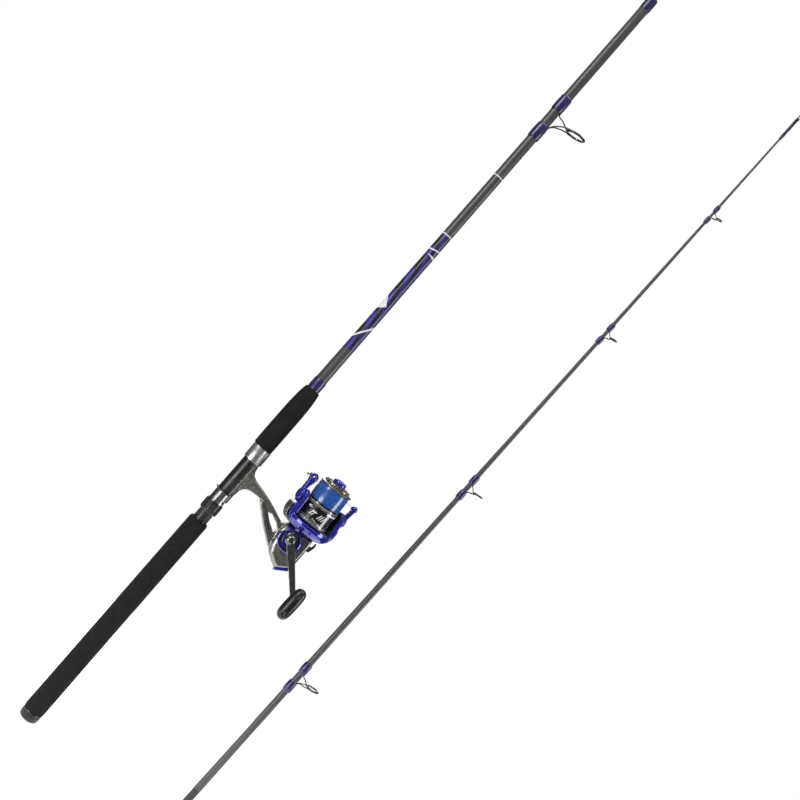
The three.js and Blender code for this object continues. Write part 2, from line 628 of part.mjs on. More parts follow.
function bailArm() {
  const disc = bar(8.5, [-39.4, 0, BAIL_PIVOT], [-34.8, 0, BAIL_PIVOT], SIDES);
  const dome = slab(outlineShape(gearOutline(12, 5, 5)), -40.3, -39.2).translate(0, 0, BAIL_PIVOT);
  const arm = plate([
    [-39.4, BAIL_PIVOT], [-39.5, -22], [-39.3, -11.4], [-32.9, -11.4], [-33.2, -16], [-34.8, -21],
    [-34.8, BAIL_PIVOT],
  ], -4, 5, 1);
  const cup = bar(6.4, [ROLLER_X, ROLLER_Y - 4, ROLLER_Z], [ROLLER_X, ROLLER_Y, ROLLER_Z], SIDES);
  const bore = bar(2 + GAP, [-38.2, 0, BAIL_PIVOT], [-30, 0, BAIL_PIVOT]);
  const screwHole = bar(1.8, [ROLLER_X, ROLLER_Y - 8, ROLLER_Z], [ROLLER_X, ROLLER_Y + 4, ROLLER_Z]);
  return cut(join(disc, dome, arm, cup), bore, screwHole);
}

// A turned piece about the roller's axis, whose heights are from the cup's side.
function turnedAtRoller(profile, sides) {
  return turnedAlongY(profile.map(([radius, y]) => [radius, y + ROLLER_Y]), ROLLER_X, ROLLER_Z, sides);
}

function lineRoller() {
  return turnedAtRoller([[1.8, 0.3], [4.5, 0.3], [3.4, 2], [3.4, 4.6], [4.5, 6.3], [1.8, 6.3]], SLIM_SIDES);
}

function rollerScrew() {
  return turnedAtRoller([[0, -5.4], [2.6, -5.4], [3.4, -4.7], [3.4, -4.3], [1.5, -4.3], [1.5, 9.4], [0, 9.4]], 16);
}

// The wire goes behind the spool from the roller to the holder on the other arm.
function bailWire() {
  const path = [
    [ROLLER_X, 11.5, ROLLER_Z], [-35.4, 19, -7.4], [-32, 29, -9.4], [-22.5, 39.5, -11.8], [-6, 46, -13],
    [12, 46, -13.2], [28, 39, -12.6], [39, 26, -11.6], [42.2, 14, -10.6], [HOLDER_X, 4.9, HOLDER_Z],
  ];
  const root = cut(
    turnedAtRoller([[0, 6.7], [5, 6.7], [4.6, 9.4], [2.4, 12.6], [0, 12.6]], 16),
    bar(1.8, [ROLLER_X, 7, ROLLER_Z], [ROLLER_X, ROLLER_Y + 9.8, ROLLER_Z]));
  const inRoot = bar(4.8, [ROLLER_X, 7, ROLLER_Z], [ROLLER_X, ROLLER_Y + 9.7, ROLLER_Z]);
  return join(root, cut(wire(path, 0.95, 24), inRoot));
}

function bailHolder() {
  const disc = bar(8, [36.8, 0, BAIL_PIVOT], [40.8, 0, BAIL_PIVOT], SIDES);
  const neck = plate([
    [36.8, BAIL_PIVOT], [36.8, -24], [38.9, -13], [43.4, -13], [41.6, -24], [40.9, BAIL_PIVOT],
  ], -3.6, 3.6, 0.8);
  const knob = turnedAlongY([[0, -4], [2.6, -4], [4.3, -2.4], [4.5, 0], [4.3, 2.6], [3, 4.6], [0, 4.6]], HOLDER_X, HOLDER_Z, 20);
  return cut(join(disc, neck, knob), bar(2 + GAP, [30, 0, BAIL_PIVOT], [39.9, 0, BAIL_PIVOT]));
}

// ------------------------------------------------------------------------------------------ spool and its drag
function spool() {
  return turned([
    [SHAFT_RADIUS + GAP, -31], [21.6, -31], [21.6, SKIRT_BOTTOM], [SKIRT_RADIUS, SKIRT_BOTTOM], [SKIRT_RADIUS, -27],
    [15, -25.6], [15, -3], [LIP_RADIUS, -1.8], [LIP_RADIUS, 0], [19.4, 1.4], [19, 4], [10.3, 4], [10.3, -8],
    [SHAFT_RADIUS + GAP, -8],
  ], 24);
}

function woundLine() {
  return turned([[15.3, -25.2], [22.6, -26.2], [23, -15], [22.6, -2.4], [15.3, -3.4]], 24);
}

function dragKnob() {
  return turned([
    [SHAFT_RADIUS + GAP, -4.6], [9.3, -4.6], [DRAG_KNOB_RADIUS, -3.6], [DRAG_KNOB_RADIUS, 8.6], [8.6, DRAG_KNOB_TOP],
    [0, DRAG_KNOB_TOP], [0, 3.4], [SHAFT_RADIUS + GAP, 3.4],
  ], SIDES);
}

function mainShaft() {
  return bar(SHAFT_RADIUS, [0, 0, -110], [0, 0, 3], 16);
}

// ----------------------------------------------------------------------------------------------------- handle
function handleArm() {
  const start = new THREE.Vector3(CRANK_X, HUB_Y, CRANK_Z);
  const along = ARM_END.clone().sub(start);
  const reach = along.length();
  const outline = [
    [0, -5.4], [15.5, -5.3], [16, -5.9], [18.4, -5.9], [19, -4.8], [reach - 6, -3.5], [reach - 2, -4.4],
    [reach + 3, -3.8], [reach + 4.6, 0], [reach + 3, 3.8], [reach - 2, 4.4], [reach - 6, 3.5], [19, 4.8], [18.4, 5.9],
    [16, 5.9], [15.5, 5.3], [0, 5.4],
  ];
  const blade = extruded(outlineShape(outline), 6.6, 1.5).translate(0, 0, -3.3);
  const x = along.clone().normalize();
  const y = new THREE.Vector3().crossVectors(new THREE.Vector3(0, -1, 0), x).normalize();
  const z = new THREE.Vector3().crossVectors(x, y);
  blade.applyMatrix4(new THREE.Matrix4().makeBasis(x, y, z)).translate(start.x, start.y, start.z);
  const hub = turnedAlongY([
    [0, -50], [4, -49.4], [6.6, -47], [7.3, -43.4], [7, -37.6], [6, -35.4], [5.6, -25], [0, -25],
  ], CRANK_X, CRANK_Z);
  const bore = bar(3.8 + GAP, [CRANK_X, -36.4, CRANK_Z], [CRANK_X, -20, CRANK_Z], 16);
  const pin = bar(3, [ARM_END.x, ARM_END.y, ARM_END.z], [ARM_END.x, -74, ARM_END.z]);
  return cut(join(blade, hub, pin), bore);
}

function handleKnob() {
  const half = KNOB_LENGTH / 2;
  const profile = [];
  for (let i = 0; i <= 8; i += 1) {
    const t = -1 + (2 * i) / 8;
    profile.push([KNOB_RADIUS * Math.sqrt(Math.max(0, 1 - Math.abs(t) ** 2.6)), half * t]);
  }
  profile[0][0] = 0;
  const grip = turned(profile, SLIM_SIDES).rotateY(THREE.MathUtils.degToRad(1.6)).translate(ARM_END.x, -71.5, ARM_END.z);
  const neck = bar(5.2, [ARM_END.x, -60, ARM_END.z], [ARM_END.x, -69, ARM_END.z], 20);
  return cut(join(grip, neck), bar(3 + GAP, [ARM_END.x, -58, ARM_END.z], [ARM_END.x, -74.4, ARM_END.z]));
}

function farCap() {
  return turnedAlongY([[0, 19.9], [9.6, 19.9], [9.8, 22], [8.6, 25.4], [5, 27], [0, 27]], CRANK_X, CRANK_Z);
}

// --------------------------------------------------------------------------------------------------- assembly
part(buttSection, 'butt_cap', buttCap(), RUBBER);
part(buttSection, 'rear_grip', rearGrip(), FOAM);
part(buttSection, 'butt_blank', buttBlank(), CARBON);
part(buttSection, 'ferrule_sleeve', ferruleSleeve(), CARBON);
part(buttSection, 'reel_seat', reelSeat(), BLACK_PLASTIC);
const fixedHood = hood(FIXED_HOOD_BOTTOM, FIXED_HOOD_TOP, FIXED_HOOD_BOTTOM - 1, FOOT_TOP + 2, SEAT_RADIUS + GAP);
const movingHood = hood(HOOD_BOTTOM, HOOD_TOP, FOOT_BOTTOM - 2, HOOD_TOP + 1, SEAT_RADIUS + GAP);
part(buttSection, 'fixed_hood', fixedHood, STEEL);
part(buttSection, 'moving_hood', movingHood, STEEL);
part(buttSection, 'lock_nut', lockNut(), BLACK_PLASTIC);
part(buttSection, 'fore_grip', foreGrip(), FOAM);
part(buttSection, 'fore_grip_winding', winding(FORE_GRIP_TOP + GAP, 588, BUTT_BLANK, 0.9), THREAD);
part(buttSection, 'ferrule_winding', winding(1232.8, 1251.7, BUTT_BLANK, 0.9), THREAD);
part(buttSection, 'stripper_frame', guideFrame(STRIPPER, BUTT_BLANK), BLACK_WIRE);
part(buttSection, 'stripper_ring', guideRing(STRIPPER), CERAMIC);
STRIPPER.windings.forEach(([bottom, top], i) => {
  const wound = cut(winding(bottom, top, BUTT_BLANK), ...footGrooves(STRIPPER, BUTT_BLANK));
  part(buttSection, ['stripper_winding_rear', 'stripper_winding_front'][i], wound, THREAD);
});

part(tipSection, 'ferrule_spigot', spigot(), BLACK_PLASTIC);
part(tipSection, 'tip_blank', tipBlank(), CARBON);
for (const guide of GUIDES) {
  part(tipSection, `${guide.name}_frame`, guideFrame(guide, TIP_BLANK), BLACK_WIRE);
  part(tipSection, `${guide.name}_ring`, guideRing(guide), CERAMIC);
  part(tipSection, `${guide.name}_winding`, pairedWinding(guide, TIP_BLANK), THREAD);
}
part(tipSection, 'tip_top', tipTop(), BLACK_WIRE);
part(tipSection, 'tip_top_ring', tipTopRing(), CERAMIC);
part(tipSection, 'tip_top_winding', winding(1222, 1235.6, TIP_BLANK, 0.95, SLIM_SIDES), THREAD);

part(reel, 'reel_body', reelBody(), PEWTER);
part(reel, 'side_cover', sideCover(), BLUE);
part(reel, 'rear_cap', rearCap(), BLUE);
part(reel, 'anti_reverse_lever', antiReverseLever(), BLACK_PLASTIC);
part(reel, 'drive_bearing_near', bearingAlongY(3.8 + GAP, 7, -21.2, -17.6), CHROME);
part(reel, 'drive_bearing_far', bearingAlongY(4 + GAP, 8, 12.4, 16.2), CHROME);
part(reel, 'far_side_cap', farCap(), BLACK_PLASTIC);
part(reel, 'drive_gear', driveGear(), BRASS);
part(reel, 'oscillation_gear', oscillationGear(), BLACK_PLASTIC);
part(reel, 'oscillation_slider', slider(), BRASS);
part(reel, 'handle_arm', handleArm(), GUNMETAL);
part(reel, 'handle_knob', handleKnob(), RUBBER);

part(onShaft, 'pinion_bearing', bearing(3.4 + GAP, 7, -55.6, -51.4), CHROME);
part(onShaft, 'main_shaft', mainShaft(), CHROME);
part(onShaft, 'pinion_gear', pinionGear(), BRASS);
part(onRotor, 'rotor', rotor(), BLUE);
part(onShaft, 'rotor_nut', bearing(3.4 + GAP, 7, -47.2, -43), STEEL);
part(onRotor, 'arm_cover', armCover(), PEWTER);
part(onRotor, 'bail_arm', bailArm(), BLUE);
part(onRotor, 'line_roller', lineRoller(), CHROME);
part(onRotor, 'roller_screw', rollerScrew(), CHROME);
part(onRotor, 'bail_wire', bailWire(), CHROME);
part(onRotor, 'bail_holder', bailHolder(), BLUE);
part(onShaft, 'spool', spool(), SPOOL_BLACK);
part(onShaft, 'wound_line', woundLine(), LINE_BLUE);
part(onShaft, 'drag_washer', bearing(SHAFT_RADIUS + GAP, 9.8, -7.7, -5), STEEL);
part(onShaft, 'drag_knob', dragKnob(), BLUE);

export default rodAndReel;
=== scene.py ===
# %% [markdown]
# # A spinning rod and its reel
# The rod comes in two sections that lie side by side, and a spinning reel sits in the seat of the butt section.
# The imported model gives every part's place and motion. This lesson keeps those places, and gives each part the
# shape, edge and finish of the real thing.

# %% Load the frame
import math

import bpy
from mathutils import Matrix, Vector


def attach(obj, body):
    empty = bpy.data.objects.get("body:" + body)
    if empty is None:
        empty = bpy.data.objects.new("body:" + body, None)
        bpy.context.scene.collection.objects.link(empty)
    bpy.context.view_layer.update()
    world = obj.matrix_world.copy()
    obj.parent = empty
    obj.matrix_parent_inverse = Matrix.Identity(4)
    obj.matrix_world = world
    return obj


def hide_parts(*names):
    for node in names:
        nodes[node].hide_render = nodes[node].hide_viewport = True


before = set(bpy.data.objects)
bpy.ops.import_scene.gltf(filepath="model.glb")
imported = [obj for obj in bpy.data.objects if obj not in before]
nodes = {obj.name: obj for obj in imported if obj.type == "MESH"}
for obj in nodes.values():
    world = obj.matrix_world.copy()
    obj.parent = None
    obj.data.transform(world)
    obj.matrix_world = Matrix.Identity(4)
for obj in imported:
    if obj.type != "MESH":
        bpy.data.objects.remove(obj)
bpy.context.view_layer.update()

# %% [markdown]
# ## Camera and stage
# The rod leans across the picture because the camera is rolled, not because the rod is. A lens of 50 mm about one
# and a half metres away keeps the far and near sides of the reel in natural proportion.

# %% Camera
ROLL = math.radians(41.07)
EYE = Vector((0.0952, -1.46, 0.6361))
right = Vector((math.cos(ROLL), 0, math.sin(ROLL)))
up = Vector((-math.sin(ROLL), 0, math.cos(ROLL)))
camera_data = bpy.data.cameras.new("camera")
camera_data.lens = 50
camera = bpy.data.objects.new("camera", camera_data)
bpy.context.scene.collection.objects.link(camera)
camera.matrix_world = Matrix((
    (right.x, up.x, 0, EYE.x), (right.y, up.y, -1, EYE.y), (right.z, up.z, 0, EYE.z), (0, 0, 0, 1)))
bpy.context.scene.camera = camera
bpy.context.scene.view_settings.view_transform = "Standard"
print("the camera looks along +Y, rolled by", round(math.degrees(ROLL), 1), "degrees")

# %% [markdown]
# ## Shader maths
# A finish is easier to read as an expression than as a list of links. One small class wraps a socket, and its
# operators add the Math nodes. Everything else comes from one method that takes a node's type and settings.


# %% A class for shader expressions
class Value:
    """A socket of a material, or a plain number, that can be used in an expression."""

    def __init__(self, tree, socket):
        self.tree, self.socket = tree, socket

    def maths(self, operation, first, second=0.0):
        return add_node(self.tree, "ShaderNodeMath", {"operation": operation}, {0: first, 1: second})

    def __add__(self, other):
        return self.maths("ADD", self, other)

    def __sub__(self, other):
        return self.maths("SUBTRACT", self, other)

    def __rsub__(self, other):
        return self.maths("SUBTRACT", other, self)

    def __mul__(self, other):
        return self.maths("MULTIPLY", self, other)

    def __gt__(self, other):
        return self.maths("GREATER_THAN", self, other)

    def __lt__(self, other):
        return self.maths("LESS_THAN", self, other)

    __radd__ = __add__
    __rmul__ = __mul__


def add_node(tree, kind, settings=None, inputs=None, output=0):
    """Adds a node, sets its settings first and its sockets after, and gives back one output."""
    node = tree.nodes.new(kind)
    for name, value in (settings or {}).items():
        if name == "stops":
            ramp = node.color_ramp
            while len(ramp.elements) < len(value):
                ramp.elements.new(1.0)
            for element, (position, colour) in zip(ramp.elements, value):
                element.position, element.color = position, (*colour, 1.0)
        else:
            setattr(node, name, value)
    for name, value in (inputs or {}).items():
        if isinstance(value, Value):
            tree.links.new(value.socket, node.inputs[name])
        else:
            node.inputs[name].default_value = value
    return Value(tree, node.outputs[output])


# %% [markdown]
# ## A finish
# Every finish starts from the same shader. Numbers that are the same all over the surface are set on its sockets.
# Only what changes from place to place gets a node: colour, roughness, and a bump for relief.


# %% Helper for a finish
class Finish:
    """A material under construction, with the object coordinates at hand."""

    def __init__(self, name, colour, roughness, metallic=0.0, coat=0.0, **constants):
        self.material = bpy.data.materials.new(name)
        self.material.use_nodes = True
        self.tree = self.material.node_tree
        self.shader = next(n for n in self.tree.nodes if n.type == "BSDF_PRINCIPLED")
        self.colour(colour)
        self.set("Roughness", roughness)
        self.shader.inputs["Metallic"].default_value = metallic
        self.shader.inputs["Coat Weight"].default_value = coat
        self.shader.inputs["Coat Roughness"].default_value = 0.05
        for key, value in constants.items():
            self.shader.inputs[key.replace("_", " ").title().replace("Ior", "IOR")].default_value = value
        self.place = self.node("ShaderNodeTexCoord", output="Object")
        axes = self.tree.nodes.new("ShaderNodeSeparateXYZ")
        self.tree.links.new(self.place.socket, axes.inputs[0])
        self.x, self.y, self.z = (Value(self.tree, axes.outputs[i]) for i in range(3))

    def node(self, kind, settings=None, inputs=None, output=0):
        return add_node(self.tree, kind, settings, inputs, output)

    def set(self, socket, value):
        if isinstance(value, Value):
            self.tree.links.new(value.socket, self.shader.inputs[socket])
        else:
            self.shader.inputs[socket].default_value = value

    def colour(self, value):
        self.set("Base Color", value if isinstance(value, Value) else (*value, 1.0))

    def noise(self, scale, detail=3.0, roughness=0.5, at=None):
        inputs = {"Scale": scale, "Detail": detail, "Roughness": roughness, "Vector": at or self.place}
        return self.node("ShaderNodeTexNoise", None, inputs, output=0)

    def stretch(self, x, y, z):
        """The object coordinates, stretched by these factors, so a pattern can run along one axis."""
        return self.node("ShaderNodeMapping", None, {"Vector": self.place, "Scale": (x, y, z)})

    def mix(self, share, first, second):
        """The first colour where share is 0 and the second where it is 1."""
        pair = {6: first if isinstance(first, Value) else (*first, 1.0),
                7: second if isinstance(second, Value) else (*second, 1.0), 0: share}
        return self.node("ShaderNodeMix", {"data_type": "RGBA"}, pair, output=2)

    def between(self, value, low, high):
        """1 where value lies between low and high, and 0 elsewhere."""
        return (value > low) * (value < high)

    def soft(self, value, low, high, first, second):
        """value, mapped from low...high to first...second and held there."""
        return self.node("ShaderNodeMapRange", None, {0: value, 1: low, 2: high, 3: first, 4: second})

    def bump(self, height, distance, strength=1.0):
        self.set("Normal", self.node("ShaderNodeBump", None,
                                     {"Height": height, "Distance": distance, "Strength": strength}))


print("finishes are written as expressions on object coordinates")

# %% [markdown]
# ## Stage and light
# A floor that glows a little, like a light table, and large soft lamps give an even studio look. The sky is white
# where the camera sees it. For the reflections it is dark between the lamps, or polished metal would have nothing to
# mirror.

# %% Floor
bpy.ops.object.select_all(action="DESELECT")
bpy.ops.mesh.primitive_circle_add(vertices=96, radius=0.66, fill_type="NGON", location=(0.1, 0, -0.0005))
floor = bpy.context.object
floor.name = "floor"
pale = Finish("pale_floor", (0.93, 0.93, 0.93), 0.8, emission_color=(1, 1, 1, 1), emission_strength=0.75)
floor.data.materials.append(pale.material)
print("the floor is", floor.dimensions.x, "m across")

# %% Sky
world = bpy.data.worlds.new("studio")
bpy.context.scene.world = world
world.use_nodes = True
sky = world.node_tree
sky.nodes.clear()
ray = add_node(sky, "ShaderNodeLightPath", output="Is Camera Ray")
direction = add_node(sky, "ShaderNodeTexCoord", output="Generated")
height = Value(sky, sky.nodes.new("ShaderNodeSeparateXYZ").outputs[2])
sky.links.new(direction.socket, height.socket.node.inputs[0])
shade = add_node(sky, "ShaderNodeMapRange", None, {0: height, 1: -0.3, 2: 0.9, 3: 0.05, 4: 0.40})
seen = add_node(sky, "ShaderNodeBackground", None, {"Color": (1, 1, 1, 1), "Strength": 1.0})
felt = add_node(sky, "ShaderNodeBackground", None, {"Color": shade, "Strength": 1.0})
both = add_node(sky, "ShaderNodeMixShader", None, {0: ray, 1: felt, 2: seen})
output = sky.nodes.new("ShaderNodeOutputWorld")
sky.links.new(both.socket, output.inputs[0])
print("the sky is white to the camera and graded to reflections")

# %% Lamps
LAMPS = [
    # name, place, size across and up, power
    ("key", (-1.3, -1.5, 1.5), (0.7, 1.5), 34),
    ("fill", (1.9, -0.35, 0.6), (0.6, 1.5), 24),
    ("low", (-0.45, -0.8, 0.12), (0.45, 0.3), 4.5),
    ("top", (0.2, -0.3, 2.7), (1.6, 0.7), 22),
    ("back", (-0.6, 1.9, 1.4), (1.4, 1.4), 20),
]
TARGET = Vector((0.1, 0, 0.55))
for name, place, (width, tall), power in LAMPS:
    lamp_data = bpy.data.lights.new(name, "AREA")
    lamp_data.shape, lamp_data.size, lamp_data.size_y, lamp_data.energy = "RECTANGLE", width, tall, power
    lamp = bpy.data.objects.new(name, lamp_data)
    lamp.location = place
    lamp.rotation_euler = (Vector(place) - TARGET).to_track_quat("Z", "Y").to_euler()
    bpy.context.scene.collection.objects.link(lamp)
print(len(LAMPS), "soft lamps")

# %% [markdown]
# ## Finishes of the rod
# The grips are closed-cell foam: a fine grain with small open cells, dull all over. The blank is fibre laid up and
# cured under tape, so a faint pitch runs round it beneath a clear gloss.

# %% Foam of the grips
foam = Finish("eva_foam", (0.008, 0.008, 0.008), 0.85, specular_ior_level=0.12)
grain = foam.noise(900, 4, 0.65)
cells = foam.node("ShaderNodeTexVoronoi", None, {"Scale": 520, "Vector": foam.place})
foam.colour(foam.mix(foam.soft(grain, 0.35, 0.7, 0, 1), (0.004, 0.004, 0.0043), (0.014, 0.014, 0.0145)))
foam.set("Roughness", foam.soft(foam.noise(60), 0.3, 0.7, 0.72, 0.92))
foam.bump(grain + foam.soft(cells, 0.0, 0.35, -0.6, 0.0), 0.0004, 0.7)
print("foam")

# %% Rubber of the butt cap and the crank's knob
rubber = Finish("black_rubber", (0.006, 0.006, 0.006), 0.4, specular_ior_level=0.4)
skin = rubber.noise(1500, 2)
rubber.set("Roughness", rubber.soft(rubber.noise(90, 3), 0.3, 0.7, 0.26, 0.38))
rubber.colour(rubber.mix(rubber.noise(140, 3), (0.004, 0.004, 0.0044), (0.009, 0.009, 0.0094)))
rubber.bump(skin, 0.00004, 0.12)
print("rubber")

# %% Blank with its printed decoration
MM = 0.001
CHARCOAL, CHARCOAL_LIGHT = (0.036, 0.036, 0.037), (0.052, 0.052, 0.053)
blank = Finish("graphite_blank", CHARCOAL, 0.42, coat=0.12)
tape = blank.node("ShaderNodeTexWave", {"wave_type": "BANDS", "bands_direction": "Z"},
                  {"Scale": 95.0, "Distortion": 0.4, "Detail": 1.0, "Vector": blank.place})
blank.colour(blank.mix(blank.soft(blank.noise(30, 4, 0.6, blank.stretch(60, 60, 1)), 0.3, 0.7, 0, 1),
                       CHARCOAL, CHARCOAL_LIGHT))
blank.set("Roughness", blank.soft(blank.noise(120), 0.3, 0.7, 0.38, 0.48))
blank.bump(tape, 0.00002, 0.05)
print("plain blank")

# %% [markdown]
# The middle of the butt section carries a printed decoration: dark blue fields with slanting white strokes and a
# wedge, and white rings above it. A stroke is a band of a slanted coordinate, so it wraps round the tube by itself.
# The strokes here are plain ones, with no lettering.

# %% Decorated blank
print_ink = Finish("printed_blank", CHARCOAL, 0.4, coat=0.12)
field = print_ink.between(print_ink.z, 0.642, 0.839)
swirl = print_ink.node("ShaderNodeTexWave", {"wave_type": "BANDS", "bands_direction": "DIAGONAL"},
                       {"Scale": 16.0, "Distortion": 3.2, "Detail": 1.5, "Detail Scale": 0.8,
                        "Vector": print_ink.stretch(4.0, 4.0, 1.0)})
blue_share = print_ink.soft(swirl, 0.35, 0.75, 0, 1)
inked = print_ink.mix(blue_share, (0.006, 0.006, 0.009), (0.022, 0.015, 0.17))
base = print_ink.mix(print_ink.soft(print_ink.noise(30, 4, 0.6, print_ink.stretch(60, 60, 1)), 0.3, 0.7, 0, 1),
                     CHARCOAL, CHARCOAL_LIGHT)
strokes = 0.0
for slope, low, high in ((1.5, 0.6695, 0.6735), (0.245, 0.8125, 0.8145)):
    strokes = print_ink.between(print_ink.z - slope * print_ink.x, low, high) + strokes
wedge = (print_ink.z < 0.8052) * ((print_ink.z + 0.3 * print_ink.x) > 0.8040)
flag = ((print_ink.z - 0.86 * print_ink.x) > 0.7138) * ((print_ink.z + 1.72 * print_ink.x) < 0.7185)
strokes = wedge + flag + strokes
rings = 0.0
for low in (0.8385, 0.9405):
    rings = print_ink.between(print_ink.z, low, low + 0.0016) + rings
white_share = print_ink.node("ShaderNodeMath", {"operation": "MINIMUM"}, {0: strokes + rings, 1: 1.0})
print_ink.colour(print_ink.mix(white_share, print_ink.mix(field, base, inked), (0.62, 0.62, 0.64)))
print_ink.set("Roughness", print_ink.soft(print_ink.noise(120), 0.3, 0.7, 0.36, 0.46))
ink_tape = print_ink.node("ShaderNodeTexWave", {"wave_type": "BANDS", "bands_direction": "Z"},
                          {"Scale": 95.0, "Distortion": 0.4, "Detail": 1.0, "Vector": print_ink.place})
print_ink.bump(ink_tape, 0.00002, 0.05)
print("printed blank with strokes, a wedge and rings")

# %% [markdown]
# ## Finishes of the fittings
# A winding is thread laid side by side, turned under a coat of epoxy: each turn is a fine ridge along the axis,
# and the coat over it shines. Its colour is painted darker in the grooves and lighter on the crests of the turns,
# as painted shade and painted highlight. The hoods are steel sheet, brushed round the axis.


# %% Thread winding
def thread_finish(name, dark, light, per_metre, lean=0.0, relief=0.4):
    """Turns of thread across Z, or across an axis that leans from it towards +X. The first colour is painted shade in
    the grooves between turns, the second painted highlight on their crests.
    """
    wound = Finish(name, dark, 0.3, coat=0.35)
    along_axis = wound.node("ShaderNodeMapping", None, {"Vector": wound.place, "Rotation": (0, -lean, 0)})
    turns = wound.node("ShaderNodeTexWave", {"wave_type": "BANDS", "bands_direction": "Z"},
                       {"Scale": per_metre, "Distortion": 0.15, "Detail": 1.0, "Vector": along_axis})
    # The colour follows the ridges: painted shade in the grooves, painted highlight on the crests.
    wound.colour(wound.mix(wound.soft(turns, 0.2, 0.8, 0, 1), dark, light))
    wound.bump(turns, 0.0001, relief)
    return wound


# Dark navy is painted shade between the turns, lighter navy is painted highlight on them.
navy = thread_finish("thread_winding", (0.008, 0.006, 0.04), (0.020, 0.016, 0.10), 420.0)
print("navy thread")

# %% Brushed steel of the hoods
steel = Finish("brushed_steel", (0.50, 0.50, 0.49), 0.33, metallic=1.0, anisotropic=0.4)
scratches = steel.noise(14, 5, 0.7, steel.stretch(3, 3, 160))
steel.colour(steel.mix(scratches, (0.36, 0.36, 0.355), (0.60, 0.60, 0.59)))
steel.set("Roughness", steel.soft(scratches, 0.3, 0.7, 0.24, 0.42))
steel.bump(scratches, 0.00005, 0.4)
print("brushed steel")


# %% Satin black plastic
def plastic_finish(name, dark, light, rough, grain_scale=1300):
    moulded = Finish(name, dark, rough)
    pebble = moulded.noise(grain_scale, 2)
    moulded.colour(moulded.mix(moulded.noise(70, 3), dark, light))
    moulded.set("Roughness", moulded.soft(moulded.noise(160, 3), 0.3, 0.7, rough - 0.08, rough + 0.08))
    moulded.bump(pebble, 0.00006, 0.35)
    return moulded


black_plastic = plastic_finish("black_plastic", (0.005, 0.005, 0.0055), (0.010, 0.010, 0.0105), 0.34)
print("satin plastic")


# %% [markdown]
# ## Finishes of the reel
# The body is cast and sprayed in metallic pewter: tiny flakes sparkle beneath a clear coat, and the paint is a little
# brighter or darker in soft clouds. The rotor and trim have a candy blue over silver, deep and glossy.


# %% Metallic lacquers
def lacquer_finish(name, dark, light, rough, metallic, coat=1.0, flake=2600):
    sprayed = Finish(name, dark, rough, metallic=metallic, coat=coat)
    flakes = sprayed.node("ShaderNodeTexVoronoi", None, {"Scale": flake, "Vector": sprayed.place})
    cloud = sprayed.noise(40, 3)
    share = sprayed.soft(flakes, 0.0, 0.7, 0.55, 0.4) + (cloud - 0.5) * 0.3
    sprayed.colour(sprayed.mix(share, dark, light))
    sprayed.set("Roughness", sprayed.soft(sprayed.noise(210, 3), 0.3, 0.7, rough - 0.05, rough + 0.07))
    sprayed.bump(sprayed.noise(700, 2), 0.00003, 0.06)
    return sprayed


pewter = lacquer_finish("pewter_body", (0.17, 0.165, 0.15), (0.30, 0.295, 0.27), 0.28, 0.95, coat=0.3)
blue = lacquer_finish("blue_lacquer", (0.014, 0.008, 0.20), (0.022, 0.022, 0.38), 0.20, 0.45)
gunmetal = lacquer_finish("gunmetal", (0.075, 0.08, 0.078), (0.15, 0.155, 0.15), 0.22, 0.95, coat=0.3)
# This dark blue is the side cover's own colour, and it is also used as painted shade on the top of the housing and its
# neck, under the rotor.
deep_blue_and_shade = lacquer_finish("deep_blue_and_painted_shade", (0.006, 0.004, 0.06), (0.012, 0.010, 0.14), 0.22, 0.4)
print("pewter, blue and gunmetal lacquers")

# %% Polished metal, brass and black wire
chrome = Finish("chrome", (0.75, 0.75, 0.76), 0.12, metallic=1.0)
chrome.set("Roughness", chrome.soft(chrome.noise(260, 4), 0.3, 0.7, 0.07, 0.18))
chrome.colour(chrome.mix(chrome.noise(80, 3), (0.66, 0.66, 0.67), (0.80, 0.80, 0.81)))
brass = Finish("brass", (0.6, 0.42, 0.15), 0.3, metallic=1.0)
brass.colour(brass.mix(brass.noise(120, 4), (0.48, 0.32, 0.11), (0.66, 0.48, 0.2)))
brass.set("Roughness", brass.soft(brass.noise(300, 4), 0.3, 0.7, 0.22, 0.42))
black_wire = Finish("guide_wire", (0.016, 0.016, 0.018), 0.28, metallic=0.4, coat=0.3)
black_wire.colour(black_wire.mix(black_wire.noise(200, 3), (0.012, 0.012, 0.013), (0.03, 0.03, 0.032)))
black_wire.set("Roughness", black_wire.soft(black_wire.noise(400, 3), 0.3, 0.7, 0.2, 0.38))
ceramic = Finish("guide_ring", (0.012, 0.012, 0.014), 0.1, coat=0.5)
ceramic.set("Roughness", ceramic.soft(ceramic.noise(300, 3), 0.3, 0.7, 0.06, 0.16))
bronze = lacquer_finish("bronze_lip", (0.10, 0.095, 0.07), (0.24, 0.225, 0.17), 0.26, 0.95, coat=0.3)
print("chrome, brass, wire, ceramic and bronze")

# %% Wound line
LEAN = math.radians(-2.73)
# The darker blue is painted shade between the coils of line, the lighter blue painted highlight on them.
line = thread_finish("blue_line", (0.006, 0.025, 0.13), (0.020, 0.10, 0.38), 640.0, LEAN, 0.12)
line.shader.inputs["Coat Weight"].default_value = 0.5
line.set("Roughness", 0.25)
print("line")

# %% [markdown]
# The spool's skirt is gloss black with fine silver lines round it and a few slanting strokes. The pattern is drawn
# in the shaft's own directions: a height along the shaft, and a distance across it.

